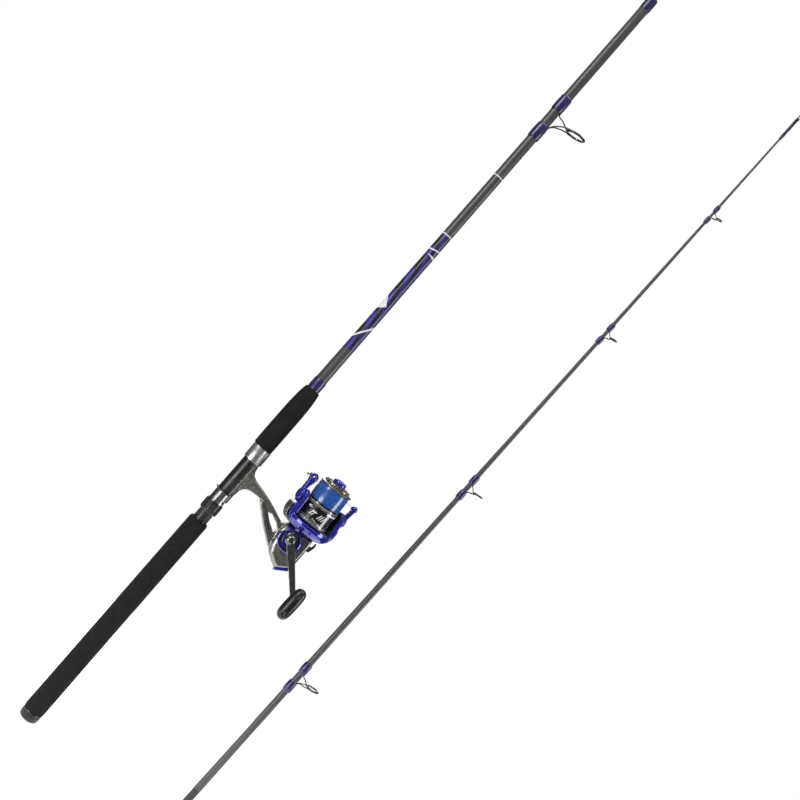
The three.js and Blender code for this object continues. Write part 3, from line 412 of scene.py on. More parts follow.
# %% Skirt of the spool
SPOOL_CENTRE = Vector((0.1083, 0, 0.4942))
SHAFT = Matrix.Translation(SPOOL_CENTRE) @ Matrix.Rotation(LEAN, 4, "Y")
skirt_black = Finish("spool_black", (0.004, 0.004, 0.005), 0.22, coat=0.8)
along = ((skirt_black.x - SPOOL_CENTRE.x) * math.sin(LEAN)
         + (skirt_black.z - SPOOL_CENTRE.z) * math.cos(LEAN))
across = ((skirt_black.x - SPOOL_CENTRE.x) * math.cos(LEAN)
          - (skirt_black.z - SPOOL_CENTRE.z) * math.sin(LEAN))
front_half = skirt_black.y < 0.0
lines = 0.0
for low, high in ((-0.0292, -0.0285), (-0.0311, -0.0306), (-0.0536, -0.0525), (-0.0556, -0.0549), (-0.0505, -0.0502)):
    lines = skirt_black.between(along, low, high) + lines
strokes_on_skirt = 0.0
for middle, slope, thick, left, end in (
        # height at the middle, slope, thickness, and from where to where across the front
        (-0.0328, 0.0, 0.0022, 0.0120, 0.0228), (-0.0482, -0.289, 0.0005, -0.001, 0.010),
        (-0.0482, -0.289, 0.0013, 0.010, 0.0186), (-0.0290, 0.5, 0.0012, -0.0150, -0.0112),
        (-0.0310, 0.5, 0.0010, -0.0130, -0.0095), (-0.0395, 0.0, 0.0009, -0.0070, 0.0010)):
    band = along - across * slope
    strokes_on_skirt = (skirt_black.between(band, middle - thick / 2, middle + thick / 2)
                        * skirt_black.between(across, left, end) * front_half) + strokes_on_skirt
slanted = across - along * 0.5
for low in (0.0140, 0.0172, 0.0262, 0.0294, 0.0326):
    strokes_on_skirt = (skirt_black.between(slanted, low, low + 0.0011)
                        * skirt_black.between(along, -0.0455, -0.0378) * front_half) + strokes_on_skirt
silver = skirt_black.node("ShaderNodeMath", {"operation": "MINIMUM"}, {0: lines * 0.5 + strokes_on_skirt, 1: 1.0})
on_skirt = skirt_black.between(along, -0.06, -0.0272)
skirt_black.colour(skirt_black.mix(silver * on_skirt, (0.004, 0.004, 0.005), (0.72, 0.73, 0.75)))
skirt_black.set("Roughness", skirt_black.soft(skirt_black.noise(250, 3), 0.3, 0.7, 0.16, 0.28))
print("skirt")

# %% [markdown]
# ## Modelling by hand, in code
# Three ways of working make nearly all of the pieces. A turned piece is a ring that is extruded and resized, step
# by step, along its axis. A flat piece is an outline that is drawn by extruding one corner after another, filled
# and given its thickness. A wire is a curve with a round section.


# %% Start and finish of a piece
def begin():
    if bpy.context.object and bpy.context.object.mode != "OBJECT":
        bpy.ops.object.mode_set(mode="OBJECT")
    bpy.ops.object.select_all(action="DESELECT")


def select_only(piece):
    begin()
    piece.select_set(True)
    bpy.context.view_layer.objects.active = piece


def apply_modifier(piece, kind, name, **settings):
    select_only(piece)
    modifier = piece.modifiers.new(name, kind)
    for key, value in settings.items():
        setattr(modifier, key, value)
    bpy.ops.object.modifier_apply(modifier=modifier.name)


def round_edges(piece, width, segments=2, angle=30):
    """Bevels every edge that is sharper than angle, by width in millimetres."""
    apply_modifier(piece, "BEVEL", "round", width=width * MM, segments=segments, limit_method="ANGLE",
                   angle_limit=math.radians(angle), use_clamp_overlap=True, harden_normals=False)


def round_chosen(piece, width, share_of, segments=6):
    """Bevels each edge by a share of width, in millimetres. share_of takes the middle of the edge and gives it."""
    weights = piece.data.attributes.new("bevel_weight_edge", "FLOAT", "EDGE")
    for edge in piece.data.edges:
        ends = [piece.data.vertices[i].co for i in edge.vertices]
        weights.data[edge.index].value = share_of((ends[0] + ends[1]) / (2 * MM), (ends[1] - ends[0]) / MM)
    apply_modifier(piece, "BEVEL", "round", width=width * MM, segments=segments, limit_method="WEIGHT",
                   use_clamp_overlap=True)


def set_place(piece, matrix):
    piece.matrix_world = matrix
    select_only(piece)
    bpy.ops.object.transform_apply(location=True, rotation=True, scale=True)


def tidy_mesh(piece, merge=0.00001):
    select_only(piece)
    bpy.ops.object.mode_set(mode="EDIT")
    bpy.ops.mesh.select_all(action="SELECT")
    bpy.ops.mesh.remove_doubles(threshold=merge)
    bpy.ops.mesh.normals_make_consistent(inside=False)
    bpy.ops.object.mode_set(mode="OBJECT")


def triangles(piece):
    return sum(len(p.vertices) - 2 for p in piece.data.polygons)


def finish(piece, name, body, finishes, replaces=(), smooth=40):
    """Names a piece, gives it its finishes, and hangs it on its body in place of the CAD nodes."""
    select_only(piece)
    bpy.ops.object.shade_smooth_by_angle(angle=math.radians(smooth))
    piece.name = piece.data.name = name
    for i, made in enumerate(finishes):
        if i < len(piece.data.materials):
            piece.data.materials[i] = made.material
        else:
            piece.data.materials.append(made.material)
    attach(piece, body)
    if replaces:
        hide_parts(*replaces)
    print(name, "has", triangles(piece), "triangles")
    return piece


# %% A turned piece
def turn(profile, sides=48):
    """Turns (radius, height) pairs in millimetres about Z. A radius of 0 closes the end, and a profile that comes
    back to its start makes a ring."""
    begin()
    first_radius, first_height = profile[0]
    pole_first = first_radius == 0
    start = profile[1] if pole_first else profile[0]
    bpy.ops.mesh.primitive_circle_add(vertices=sides, radius=start[0] * MM, location=(0, 0, start[1] * MM),
                                      fill_type="TRIFAN" if pole_first else "NOTHING")
    piece = bpy.context.object
    bpy.ops.object.transform_apply(location=True, rotation=False, scale=False)
    bpy.ops.object.mode_set(mode="EDIT")
    if pole_first:
        mesh_centre_to(piece, start[1], first_height)
        select_ring(piece, start, sides)
    else:
        bpy.ops.mesh.select_all(action="SELECT")
    before = start
    for radius, height in profile[(2 if pole_first else 1):]:
        bpy.ops.mesh.extrude_region_move(TRANSFORM_OT_translate={"value": (0, 0, (height - before[1]) * MM)})
        if radius == 0:
            bpy.ops.mesh.merge(type="CENTER")
            break
        share = radius / before[0]
        bpy.ops.transform.resize(value=(share, share, 1), center_override=(0, 0, height * MM))
        before = (radius, height)
    bpy.ops.object.mode_set(mode="OBJECT")
    tidy_mesh(piece)
    return piece


def select_ring(piece, ring, sides):
    """Selects the vertices of the ring with this radius and height, and nothing else."""
    bpy.ops.mesh.select_all(action="DESELECT")
    bpy.ops.object.mode_set(mode="OBJECT")
    radius, height = ring
    for vertex in piece.data.vertices:
        away = math.hypot(vertex.co.x, vertex.co.y) / MM
        vertex.select = abs(away - radius) < 0.01 and abs(vertex.co.z / MM - height) < 0.01
    for edge in piece.data.edges:
        edge.select = all(piece.data.vertices[i].select for i in edge.vertices)
    bpy.ops.object.mode_set(mode="EDIT")


def mesh_centre_to(piece, from_height, to_height):
    """Moves the middle point of a closed end from one height to another."""
    if from_height == to_height:
        return
    bpy.ops.object.mode_set(mode="OBJECT")
    for vertex in piece.data.vertices:
        if math.hypot(vertex.co.x, vertex.co.y) < 1e-6:
            vertex.co.z += (to_height - from_height) * MM
    bpy.ops.object.mode_set(mode="EDIT")


print("turned pieces: ready")

# %% A flat piece from an outline
XZ = Matrix(((1, 0, 0, 0), (0, 0, -1, 0), (0, 1, 0, 0), (0, 0, 0, 1)))


def draw_outline(points, low, high):
    """Draws the outline (two coordinates each, in millimetres) on a plane by extruding one corner after another,
    fills it, and thickens it from low to high along the plane's normal."""
    begin()
    bpy.ops.mesh.primitive_plane_add(size=0.001, location=(0, 0, 0))
    piece = bpy.context.object
    bpy.ops.object.mode_set(mode="EDIT")
    bpy.ops.mesh.select_all(action="SELECT")
    bpy.ops.mesh.merge(type="CENTER")
    x, y = points[0]
    bpy.ops.transform.translate(value=(x * MM, y * MM, low * MM))
    for nx, ny in points[1:]:
        bpy.ops.mesh.extrude_region_move(TRANSFORM_OT_translate={"value": ((nx - x) * MM, (ny - y) * MM, 0)})
        x, y = nx, ny
    bpy.ops.mesh.select_all(action="SELECT")
    bpy.ops.mesh.edge_face_add()
    bpy.ops.mesh.extrude_region_move(TRANSFORM_OT_translate={"value": (0, 0, (high - low) * MM)})
    bpy.ops.mesh.select_all(action="SELECT")
    bpy.ops.mesh.normals_make_consistent(inside=False)
    bpy.ops.object.mode_set(mode="OBJECT")
    return piece


def plate(points, near, far):
    """An outline in X and Z, from Y = near to Y = far."""
    piece = draw_outline(points, -far, -near)
    set_place(piece, XZ)
    return piece


print("flat pieces: ready")


# %% A wire
def wire(points, radius, sides=5, cyclic=False, steps=6):
    """A round wire through points in millimetres. Its thickness may be one radius or one for each point."""
    begin()
    bpy.ops.curve.primitive_nurbs_path_add()
    curve = bpy.context.object
    data = curve.data
    data.splines.clear()
    spline = data.splines.new("BEZIER")
    spline.bezier_points.add(len(points) - 1)
    for i, (knot, at) in enumerate(zip(spline.bezier_points, points)):
        knot.co = Vector(at) * MM
        knot.handle_left_type = knot.handle_right_type = "AUTO"
        knot.radius = radius[i] if isinstance(radius, (list, tuple)) else radius
    spline.use_cyclic_u = cyclic
    spline.resolution_u = steps
    data.bevel_depth, data.bevel_resolution = MM, sides
    data.use_fill_caps = not cyclic
    select_only(curve)
    bpy.ops.object.convert(target="MESH")
    piece = bpy.context.object
    tidy_mesh(piece, 0.000001)
    return piece


def join(*pieces):
    begin()
    for piece in pieces:
        piece.select_set(True)
    bpy.context.view_layer.objects.active = pieces[0]
    bpy.ops.object.join()
    return pieces[0]


def carve(piece, cutter, operation="DIFFERENCE"):
    """Cuts one closed piece out of another, or with UNION makes them one."""
    select_only(piece)
    modifier = piece.modifiers.new("carve", "BOOLEAN")
    modifier.operation, modifier.object, modifier.solver = operation, cutter, "EXACT"
    bpy.ops.object.modifier_apply(modifier=modifier.name)
    bpy.data.objects.remove(cutter)
    return piece


def to_y_axis(piece, x, z):
    """Turns a piece made about Z so that its height runs along +Y, with its axis at (x, z) in millimetres."""
    set_place(piece, Matrix.Translation((x * MM, 0, z * MM)) @ Matrix.Rotation(math.radians(-90), 4, "X"))
    return piece


print("wires and cuts: ready")

# %% [markdown]
# ## Butt section
# The butt cap is moulded rubber that hugs the foam; a fine groove runs round it. The grips are foam tubes, turned
# on a lathe and slid over the blank, so their ends are rounded over. The fore grip tapers down to the blank.

# %% Butt cap and grips
cap = turn([(0, 0), (9.6, 0), (11.2, 0.3), (12.7, 1.2), (13.6, 2.8), (13.95, 5), (14.05, 8.9), (13.7, 9.3),
            (13.7, 9.9), (14.05, 10.3), (14.1, 13.3), (13.8, 13.7), (9.6, 13.7), (9.6, 5.4), (0, 5.4)], 64)
finish(cap, "butt_cap_rubber", "butt_section", [rubber], ["butt_cap"])
rear = turn([(9.6, 14), (13.0, 14), (13.9, 14.3), (14.4, 15.2), (14.45, 17), (14.3, 120), (14.1, 250), (14.0, 340),
             (13.8, 342.2), (13.3, 343.8), (12.4, 344.4), (9.6, 344.4), (9.6, 14)], 64)
finish(rear, "rear_grip_foam", "butt_section", [foam], ["rear_grip"])
fore = turn([(9.2, 470.6), (12.6, 470.6), (13.5, 471), (13.9, 472.2), (13.98, 490), (13.95, 520), (13.8, 535),
             (13.4, 548), (12.7, 558), (11.7, 566), (10.9, 570), (10.2, 571.3), (9.2, 571.4), (9.2, 470.6)], 64)
finish(fore, "fore_grip_foam", "butt_section", [foam], ["fore_grip"])

# %% [markdown]
# The blank is one tapered tube with an open mouth at its top, where the tip section's spigot goes in. It stands
# for both the blank and its socket end, which are one tube on the real rod.

# %% Blank of the butt section
BUTT_RADII = [(9, 5), (8.72, 300), (8.35, 571), (8.2, 590), (7.8, 690), (7.45, 793), (7.3, 890), (7.15, 988),
              (7.02, 1085), (6.9, 1182), (6.8, 1251.4), (6.5, 1252)]
butt = turn([(7, 5), *BUTT_RADII, (5.75, 1252), (5.65, 1251.4), (5.65, 1170.5), (5.2, 1169.5), (6.4, 590), (7, 5)],
            64)
finish(butt, "butt_blank_tube", "butt_section", [print_ink], ["butt_blank", "ferrule_sleeve"])


# %% Radius of a tapered blank
def radius_at(radii, z):
    for (r0, z0), (r1, z1) in zip(radii, radii[1:]):
        if z0 <= z <= z1:
            return r0 + (r1 - r0) * (z - z0) / (z1 - z0)
    return radii[-1][0]


# %% [markdown]
# A winding swells over the blank and runs out thin at both ends, where the epoxy feathers onto the tube.


# %% A winding
def winding(radii, low, high, thick):
    inner = radius_at(radii, low) + 0.12
    mean = radius_at(radii, (low + high) / 2)
    outer = mean + thick
    edge = min(2.2, (high - low) * 0.2)
    return turn([(inner, low), (inner + 0.25, low), (outer - 0.45 * thick, low + 0.3 * edge),
                 (outer - 0.1 * thick, low + edge), (outer, (low + high) / 2), (outer - 0.1 * thick, high - edge),
                 (outer - 0.45 * thick, high - 0.3 * edge), (inner + 0.25, high), (inner, high), (inner, low)], 48)


for name, low, high, thick in (("fore_grip_winding", 571.7, 588, 0.9), ("ferrule_winding", 1232.8, 1251.7, 0.9)):
    finish(winding(BUTT_RADII, low, high, thick), name + "_thread", "butt_section", [navy], [name])

# %% [markdown]
# ## Reel seat
# The seat is a plastic tube with a screw thread at its lower end. The lock nut runs on the thread and pushes the
# moving hood up over the end of the reel's foot; the fixed hood holds the foot's other end.

# %% Seat tube and nut
SEAT = 10.6
seat_profile = [(9.4, 344.7), (9.9, 344.7)]
z = 345.6
while z < 361:
    seat_profile += [(9.9, z), (SEAT - 0.1, z + 0.75), (SEAT, z + 1.1), (SEAT - 0.1, z + 1.45)]
    z += 2.5
seat_profile += [(9.9, z - 0.2), (SEAT, z + 1.4), (SEAT, 470.3), (9.4, 470.3), (9.4, 344.7)]
seat = turn(seat_profile, 64)
finish(seat, "seat_tube", "butt_section", [black_plastic], ["reel_seat"], smooth=35)
nut = turn([(10.9, 360.2), (11.9, 360.2), (12.5, 360.8), (12.8, 361.8), (12.8, 374.4), (12.5, 375.4), (12.2, 376.7),
            (10.9, 376.7), (10.9, 360.2)], 72)
flutes = []
for i in range(12):
    angle = (i + 0.5) * math.pi / 6
    begin()
    bpy.ops.mesh.primitive_cylinder_add(vertices=20, radius=1.5 * MM, depth=15 * MM, location=(
        13.7 * MM * math.cos(angle), 13.7 * MM * math.sin(angle), 370.2 * MM))
    flutes.append(bpy.context.object)
carve(nut, join(*flutes))
round_edges(nut, 0.25, 2, 35)
finish(nut, "lock_nut_fluted", "seat_nut", [black_plastic], ["lock_nut"])


# %% [markdown]
# A hood is a steel ring with a swelling on the reel's side. The swelling is hollow, so the foot's end slides in.


# %% Hoods
def block(low, high):
    """A box between two corners in millimetres, as a tool to cut or to join with."""
    begin()
    size = [(b - a) * MM for a, b in zip(low, high)]
    middle = [(a + b) / 2 * MM for a, b in zip(low, high)]
    bpy.ops.mesh.primitive_cube_add(size=1, location=middle, scale=size)
    bpy.ops.object.transform_apply(location=True, rotation=True, scale=True)
    return bpy.context.object


def rod_of(radius, low, high, sides=64):
    """A bar along Z, from low to high, as a tool."""
    return turn([(0, low), (radius, low), (radius, high), (0, high)], sides)


def hood(bottom, top, flare_at, pocket):
    """A ring that flares a little at flare_at, with a pocket for the foot between two heights."""
    middle = (bottom + top) / 2
    flare = 0.35 if flare_at == top else -0.35
    ring = turn([(10.9, bottom), (12.2 - flare * 0.4, bottom), (12.4 - flare * 0.4, bottom + 0.8), (12.35, middle),
                 (12.4 + flare * 0.4, top - 0.8), (12.2 + flare * 0.4, top), (10.9, top), (10.9, bottom)], 72)
    bulge = turn([(0, bottom), (14.0, bottom), (14.5, bottom + 1), (14.5, top - 1), (14.0, top), (0, top)], 72)
    carve(bulge, block((5, -9.2, bottom - 2), (18, 9.2, top + 2)), "INTERSECT")
    round_edges(bulge, 1.2, 3, 50)
    carve(ring, bulge, "UNION")
    slot = rod_of(13.2, *pocket)
    carve(slot, block((5, -7.8, pocket[0] - 2), (18, 7.8, pocket[1] + 2)), "INTERSECT")
    carve(ring, slot)
    carve(ring, rod_of(10.9, bottom - 3, top + 3))
    round_edges(ring, 0.25, 2, 40)
    return ring


moving = hood(377, 395.1, 395.1, (381, 397))
finish(moving, "moving_hood_steel", "seat_hood", [steel], ["moving_hood"])
fixed = hood(448.7, 470.3, 470.3, (446, 464))
finish(fixed, "fixed_hood_steel", "butt_section", [steel], ["fixed_hood"])

# %% [markdown]
# A thin black lip stands proud at the moving hood's front edge. It is open where the foot passes.

# %% Lip of the moving hood
lip = turn([(11.1, 393.6), (12.9, 393.6), (13.5, 394.1), (13.5, 394.9), (12.9, 395.4), (11.1, 395.4), (11.1, 393.6)],
           72)
carve(lip, block((6, -9.6, 392), (20, 9.6, 397)))
carve(lip, rod_of(12.55, 390, 394.95))
round_edges(lip, 0.15, 2, 40)
finish(lip, "moving_hood_lip", "seat_hood", [black_plastic])

# %% [markdown]
# ## Line guides
# A guide is bent from steel wire: one leg in front, two legs behind that spread to hold the ring, and flat feet
# that lie under the windings. The ring is ceramic, polished and rounded where the line runs.

# %% One guide
TILT = Matrix.Rotation(math.radians(-8), 4, "Y")


def guide_pieces(radii, z, reach, ring, gauge, foot, windings):
    """The frame, the ring and the two windings of one guide, for a blank along Z."""
    (low, rear_top), (front_bottom, high) = windings
    surface = radius_at(radii, z) + 0.6
    near, dip = reach - ring + gauge, math.sin(math.radians(8))
    ring_place = Matrix.Translation((reach * MM, 0, z * MM)) @ TILT
    middle = ring - gauge
    rim = turn([(middle + gauge * c, gauge * s) for c, s in (
        (1, 0), (0.7, 0.75), (0, 1), (-0.7, 0.75), (-0.85, 0), (-0.7, -0.75), (0, -1), (0.7, -0.75), (1, 0))], 56)
    set_place(rim, ring_place)
    front = wire([(surface, 0, front_bottom + 4), (surface, 0, front_bottom - 0.4),
                  ((surface + near) / 2, 0, z + 0.45 * (front_bottom - z)), (near + 0.3, 0, z - ring * dip)],
                 [gauge * 0.8, gauge, gauge, gauge])
    legs = [wire([(surface, side * 0.3 * gauge, rear_top - 4), (surface, side * 0.5 * gauge, rear_top + 0.4),
                  (surface + 0.45 * (reach - surface), side * 0.55 * ring, z - 3.5),
                  (reach - 0.2 * ring, side * (ring - 0.9 * gauge) * 0.975, z - 0.22 * ring * dip)],
                 [gauge * 0.8, gauge, gauge, gauge]) for side in (-1, 1)]
    feet = []
    for (start, end), out in ((windings[0], -1), (windings[1], 1)):
        inner, far = (rear_top + 1.5, rear_top - 0.72 * (end - start)) if out < 0 else (
            front_bottom - 1.5, front_bottom + 0.72 * (end - start))
        height = radius_at(radii, (start + end) / 2) + 0.25
        flat = draw_outline([(-foot / 2, inner), (foot / 2, inner), (foot * 0.42, (inner + far) / 2), (foot * 0.16, far),
                             (-foot * 0.16, far), (-foot * 0.42, (inner + far) / 2)], height, height + 0.75)
        set_place(flat, Matrix(((0, 0, 1, 0), (1, 0, 0, 0), (0, 1, 0, 0), (0, 0, 0, 1))))
        round_edges(flat, 0.2, 2, 30)
        feet.append(flat)
    body = join(rim, front, *legs, *feet)
    outer = ring - 2 * gauge - 0.05
    inner = outer - 0.17 * ring
    half = 1.8 * gauge
    bead = turn([(outer, -0.6 * half), (outer, 0.6 * half), ((inner + outer) / 2 + 0.2, half),
                 ((inner + outer) / 2 - 0.1, 0.9 * half), (inner, 0.35 * half), (inner, -0.35 * half),
                 ((inner + outer) / 2 - 0.1, -0.9 * half), ((inner + outer) / 2 + 0.2, -half), (outer, -0.6 * half)],
                56)
    set_place(bead, ring_place)
    return body, bead, [winding(radii, a, b, 1.5) for a, b in windings]


STRIPPER = (1049, 41, 15, 0.95, 3.2, [(1009, 1033), (1056, 1080)])
body, bead, wound = guide_pieces(BUTT_RADII, *STRIPPER)
finish(body, "stripper_guide_frame", "butt_section", [black_wire], ["stripper_frame"])
finish(bead, "stripper_guide_ring", "butt_section", [ceramic], ["stripper_ring"])
for piece, name in zip(wound, ("rear", "front")):
    finish(piece, f"stripper_winding_{name}_thread", "butt_section", [navy],
           [f"stripper_winding_{name}"])

# %% [markdown]
# ## Tip section
# The tip section stands beside the butt section and leans by less than one degree. Its pieces are made upright at
# the origin and put in their place together.

# %% Tip blank and spigot
TIP = Matrix.Translation((0.2293, 0, 0)) @ Matrix.Rotation(math.radians(0.79), 4, "Y")
spigot = turn([(0, 0), (4.4, 0), (5.0, 0.35), (5.3, 1.2), (5.4, 4), (5.45, 75.4), (4.4, 75.4), (4.3, 119), (0, 119)],
              48)
set_place(spigot, TIP)
finish(spigot, "ferrule_spigot_plug", "tip_section", [black_plastic], ["ferrule_spigot"])
TIP_RADII = [(5.7, 76), (4.7, 229), (4.35, 320), (3.95, 451), (3.45, 581), (2.95, 711), (2.6, 842), (2.3, 972),
             (1.95, 1050), (1.7, 1128), (1.25, 1233), (1.15, 1250)]
tip = turn([(4.8, 76), *TIP_RADII, (0.5, 1250), (1.0, 1128), (1.5, 900), (2.6, 451), (4.3, 129), (4.8, 127),
            (4.8, 76)], 40)
set_place(tip, TIP)
finish(tip, "tip_blank_tube", "tip_section", [blank], ["tip_blank"])

# %% Guides of the tip section
GUIDES = {
    "guide_2": (274, 25, 10, 0.75, 2.4, [(249, 266), (280, 297)]),
    "guide_3": (609, 16.6, 8, 0.65, 1.8, [(588, 602), (614, 628)]),
    "guide_4": (880, 13.2, 6, 0.55, 1.5, [(862, 874), (884, 896)]),
    "guide_5": (1090, 11.4, 5, 0.5, 1.3, [(1074, 1085), (1093, 1104)]),
}
for name, sizes in GUIDES.items():
    body, bead, wound = guide_pieces(TIP_RADII, *sizes)
    for piece in (body, bead, *wound):
        set_place(piece, TIP)
    finish(body, name + "_wire", "tip_section", [black_wire], [name + "_frame"])
    finish(bead, name + "_bead", "tip_section", [ceramic], [name + "_ring"])
    finish(join(*wound), name + "_thread", "tip_section", [navy], [name + "_winding"])

# %% [markdown]
# The tip-top is a short tube glued over the end of the blank, with a small ring held by a neck and two struts.

# %% Tip-top
tube = turn([(0, 1250.4), (1.6, 1250.4), (1.6, 1236), (2.0, 1236), (2.15, 1236.5), (2.15, 1254), (1.9, 1257),
             (1.2, 1259.3), (0, 1259.6)], 32)
rim = turn([(3.95 + 0.5 * c, 0.5 * s) for c, s in (
    (1, 0), (0.7, 0.75), (0, 1), (-0.7, 0.75), (-0.85, 0), (-0.7, -0.75), (0, -1), (0.7, -0.75), (1, 0))], 40)
set_place(rim, Matrix.Translation((3.2 * MM, 0, 1264 * MM)) @ TILT)
neck = wire([(0, 0, 1255), (-0.4, 0, 1259.6), (-0.8, 0, 1263.4)], [1.2, 0.85, 0.55])
struts = [wire([(0.9, side * 0.8, 1250), (2.2, side * 2.9, 1258), (3.2, side * 4.0, 1263.8)], [0.4, 0.5, 0.5])
          for side in (-1, 1)]
top = join(tube, rim, neck, *struts)
bead = turn([(3.45, -0.4), (3.45, 0.4), (3.1, 0.55), (2.6, 0.3), (2.6, -0.3), (3.1, -0.55), (3.45, -0.4)], 40)
set_place(bead, Matrix.Translation((3.2 * MM, 0, 1264 * MM)) @ TILT)
thread = winding(TIP_RADII, 1222, 1235.6, 0.95)
for piece, name, made, slot, node in (
        (top, "tip_top_tube", black_wire, "guide_wire", "tip_top"),
        (bead, "tip_top_bead", ceramic, "guide_ring", "tip_top_ring"),
        (thread, "tip_top_thread", navy, "thread_winding", "tip_top_winding")):
    set_place(piece, TIP)
    finish(piece, name, "tip_section", [made], [node])

# %% [markdown]
# ## Body of the reel
# The body is one casting: a foot, a thin stem, a broad rear strut, and a housing with a round neck. Each is drawn
# as an outline or turned, then they are made one. A voxel skin and a little smoothing melt the joints together as
# the fillets of a casting do.

# %% Foot
SEAT_CLEAR = 10.9
foot = turn([(SEAT_CLEAR, 383), (12.2, 383), (12.8, 384.4), (12.8, 397), (14, 402.1), (15.2, 424), (14, 441.7),
             (12.8, 448), (12.8, 460.6), (12.2, 462), (SEAT_CLEAR, 462), (SEAT_CLEAR, 383)], 72)
carve(foot, block((0, -7.5, 382), (20, 7.5, 463)), "INTERSECT")
round_edges(foot, 0.5, 2, 50)
print("foot", [round(v * 1000, 1) for v in foot.dimensions])

# %% Stem, strut, housing and neck
STEM_AND_STRUT = [
    (11.2, 447), (13.2, 441), (16.9, 434.6), (22, 432), (28, 430.4), (36, 428.6), (42.6, 426.8), (52, 424.2),
    (62, 420.8), (70, 417.6), (76, 415), (82.5, 412.9), (86, 414.8), (90.5, 418.6), (100, 410), (106, 390),
    (106.6, 369), (93, 376.4), (81.1, 384.7), (72, 391.4), (63.9, 397.7), (57.5, 403.4), (52, 408.2), (46, 413.3),
    (42.5, 416.6), (39.6, 418), (30, 417.6), (24.5, 416.8), (20.2, 415), (17, 412), (14.6, 408), (12.6, 401)]
stem = plate(STEM_AND_STRUT, -4.8, 4.8)
round_edges(stem, 1.5, 3, 60)
strut = plate([(43, 418.8), (47.5, 418.6), (51.5, 416), (58, 411.4), (65, 405.4), (73, 398.6), (81.5, 392.4),
               (89, 389), (97, 384), (106, 371), (93, 376.2), (81.1, 384.5), (72, 391.2), (63.9, 397.5), (57.5, 403.2),
               (52, 408), (46, 413.1)], -9.2, 9.2)
round_chosen(strut, 3.1, lambda at, run: 0.0 if abs(run.y) > 1 or at.x > 97 else 1.0)
housing = plate([(90.5, 419.6), (96.8, 420.4), (112, 421.2), (128.4, 421.7), (131.2, 418), (131.8, 409), (131.8, 398),
                 (131.2, 380), (129.6, 375.4), (122, 369.6), (113.8, 363.8), (106.6, 367), (96, 374), (90.6, 386),
                 (87.5, 404)], -16.5, 16.5)


def housing_share(at, run):
    """The edges on the strut's side are rounded widely, the other edges of the rim a little."""
    if abs(run.y) > 1:
        return 0.0
    return 1.0 if at.x < 112 and at.z < 400 else 0.4


round_chosen(housing, 12.5, housing_share)
neck = turn([(0, -80), (17.6, -80), (18.3, -79), (18.3, -66), (17.9, -65.4), (17.9, -64.4), (18.3, -63.8),
             (18.3, -52.2), (17.4, -51), (0, -51)], 72)
set_place(neck, SHAFT)
print("stem, strut, housing and neck are drawn")

# %% Hollows of the housing
CRANK = (107.4, 410)
COVER = (107.6, 404)
WINDOW = [(60.5, 411.3), (71, 402.5), (81.5, 396.4), (84.4, 398), (84, 403.2), (78.5, 408.2), (67, 413.1)]
far_boss = to_y_axis(turn([(0, 10), (12, 10), (11.6, 17.5), (10.6, 19.4), (0, 19.5)], 64), *CRANK)
cover_seat = to_y_axis(turn([(0, -17), (15.4, -17), (16.3, -16.2), (16.3, -4), (0, -4)], 64), *COVER)
casting = foot
for addition in (stem, strut, housing, neck, far_boss, cover_seat):
    carve(casting, addition, "UNION")
hollow = plate([(94, 417), (128, 418.4), (128.6, 400), (128, 381), (117, 372), (108, 370.5), (99, 377), (93.5, 389),
                (91, 404)], -13.5, 13.5)
round_edges(hollow, 8.5, 5, 30)
neck_bore = rod_of(16.9, -86, -56)
pinion_seat = rod_of(7.3, -58, -48)
for tool in (neck_bore, pinion_seat):
    set_place(tool, SHAFT)
for tool in (plate(WINDOW, -9, 9), rod_of(SEAT_CLEAR, 370, 475), hollow, neck_bore, pinion_seat,
             to_y_axis(rod_of(14.6, -20, -12), *COVER), to_y_axis(rod_of(8.3, 12, 16.5), *CRANK),
             to_y_axis(rod_of(4.6, 12, 22), *CRANK)):
    carve(casting, tool)


# %% A cast skin
def cast_skin(piece, voxel, passes, share=1.0):
    """Gives a piece one even skin, softens it as a casting's fillets are, and thins out flat parts."""
    apply_modifier(piece, "REMESH", "skin", mode="VOXEL", voxel_size=voxel * MM, use_smooth_shade=True)
    apply_modifier(piece, "SMOOTH", "soften", factor=0.5, iterations=passes)
    if share < 1:
        apply_modifier(piece, "DECIMATE", "thin_out", ratio=share)
    return piece


cast_skin(casting, 0.62, 6, 0.6)
for finish_of_part in (pewter, deep_blue_and_shade):
    casting.data.materials.append(finish_of_part.material)
# Faces on the top of the housing and on its neck, between the side cover and the rotor, get the dark blue: painted
# shade where this gap lies in shadow.
for face in casting.data.polygons:
    x, _, z = face.center / MM
    face.material_index = 1 if x > 91 and z > 415.5 + 0.12 * (x - 91) else 0
finish(casting, "reel_body_casting", "butt_section", [pewter, deep_blue_and_shade], ["reel_body"], smooth=60)

# %% [markdown]
# The round cover closes the gear case. Its dish has deep pockets between five spokes and a boss for the crank.

# %% Side cover
dish = turn([(0, -17.3), (15.6, -17.3), (16.3, -17.8), (16.3, -19.0), (15.9, -19.8), (15.0, -20.3), (14.2, -20.3),
             (13.7, -19.9), (13.4, -19.6), (9.9, -20.2), (9.6, -21.4), (9.3, -23.4), (8.8, -24), (0, -24)], 80)
to_y_axis(dish, *COVER)
pockets = []
for i in range(5):
    begin()
    sector = draw_outline([(r * math.cos(a), r * math.sin(a)) for r, a in (
        (13.2, -0.42), (13.2, -0.2), (13.2, 0), (13.2, 0.2), (13.2, 0.42), (10.4, 0.36), (10.4, 0), (10.4, -0.36))],
        -20.6, -18.4)
    sector.rotation_euler.z = math.radians(90 + 72 * i)
    bpy.ops.object.transform_apply(location=True, rotation=True, scale=True)
    to_y_axis(sector, *COVER)
    pockets.append(sector)
carve(dish, join(*pockets))
carve(dish, to_y_axis(rod_of(4.6, -30, -12), *CRANK))
carve(dish, to_y_axis(rod_of(7.3, -21.4, -12), *CRANK))
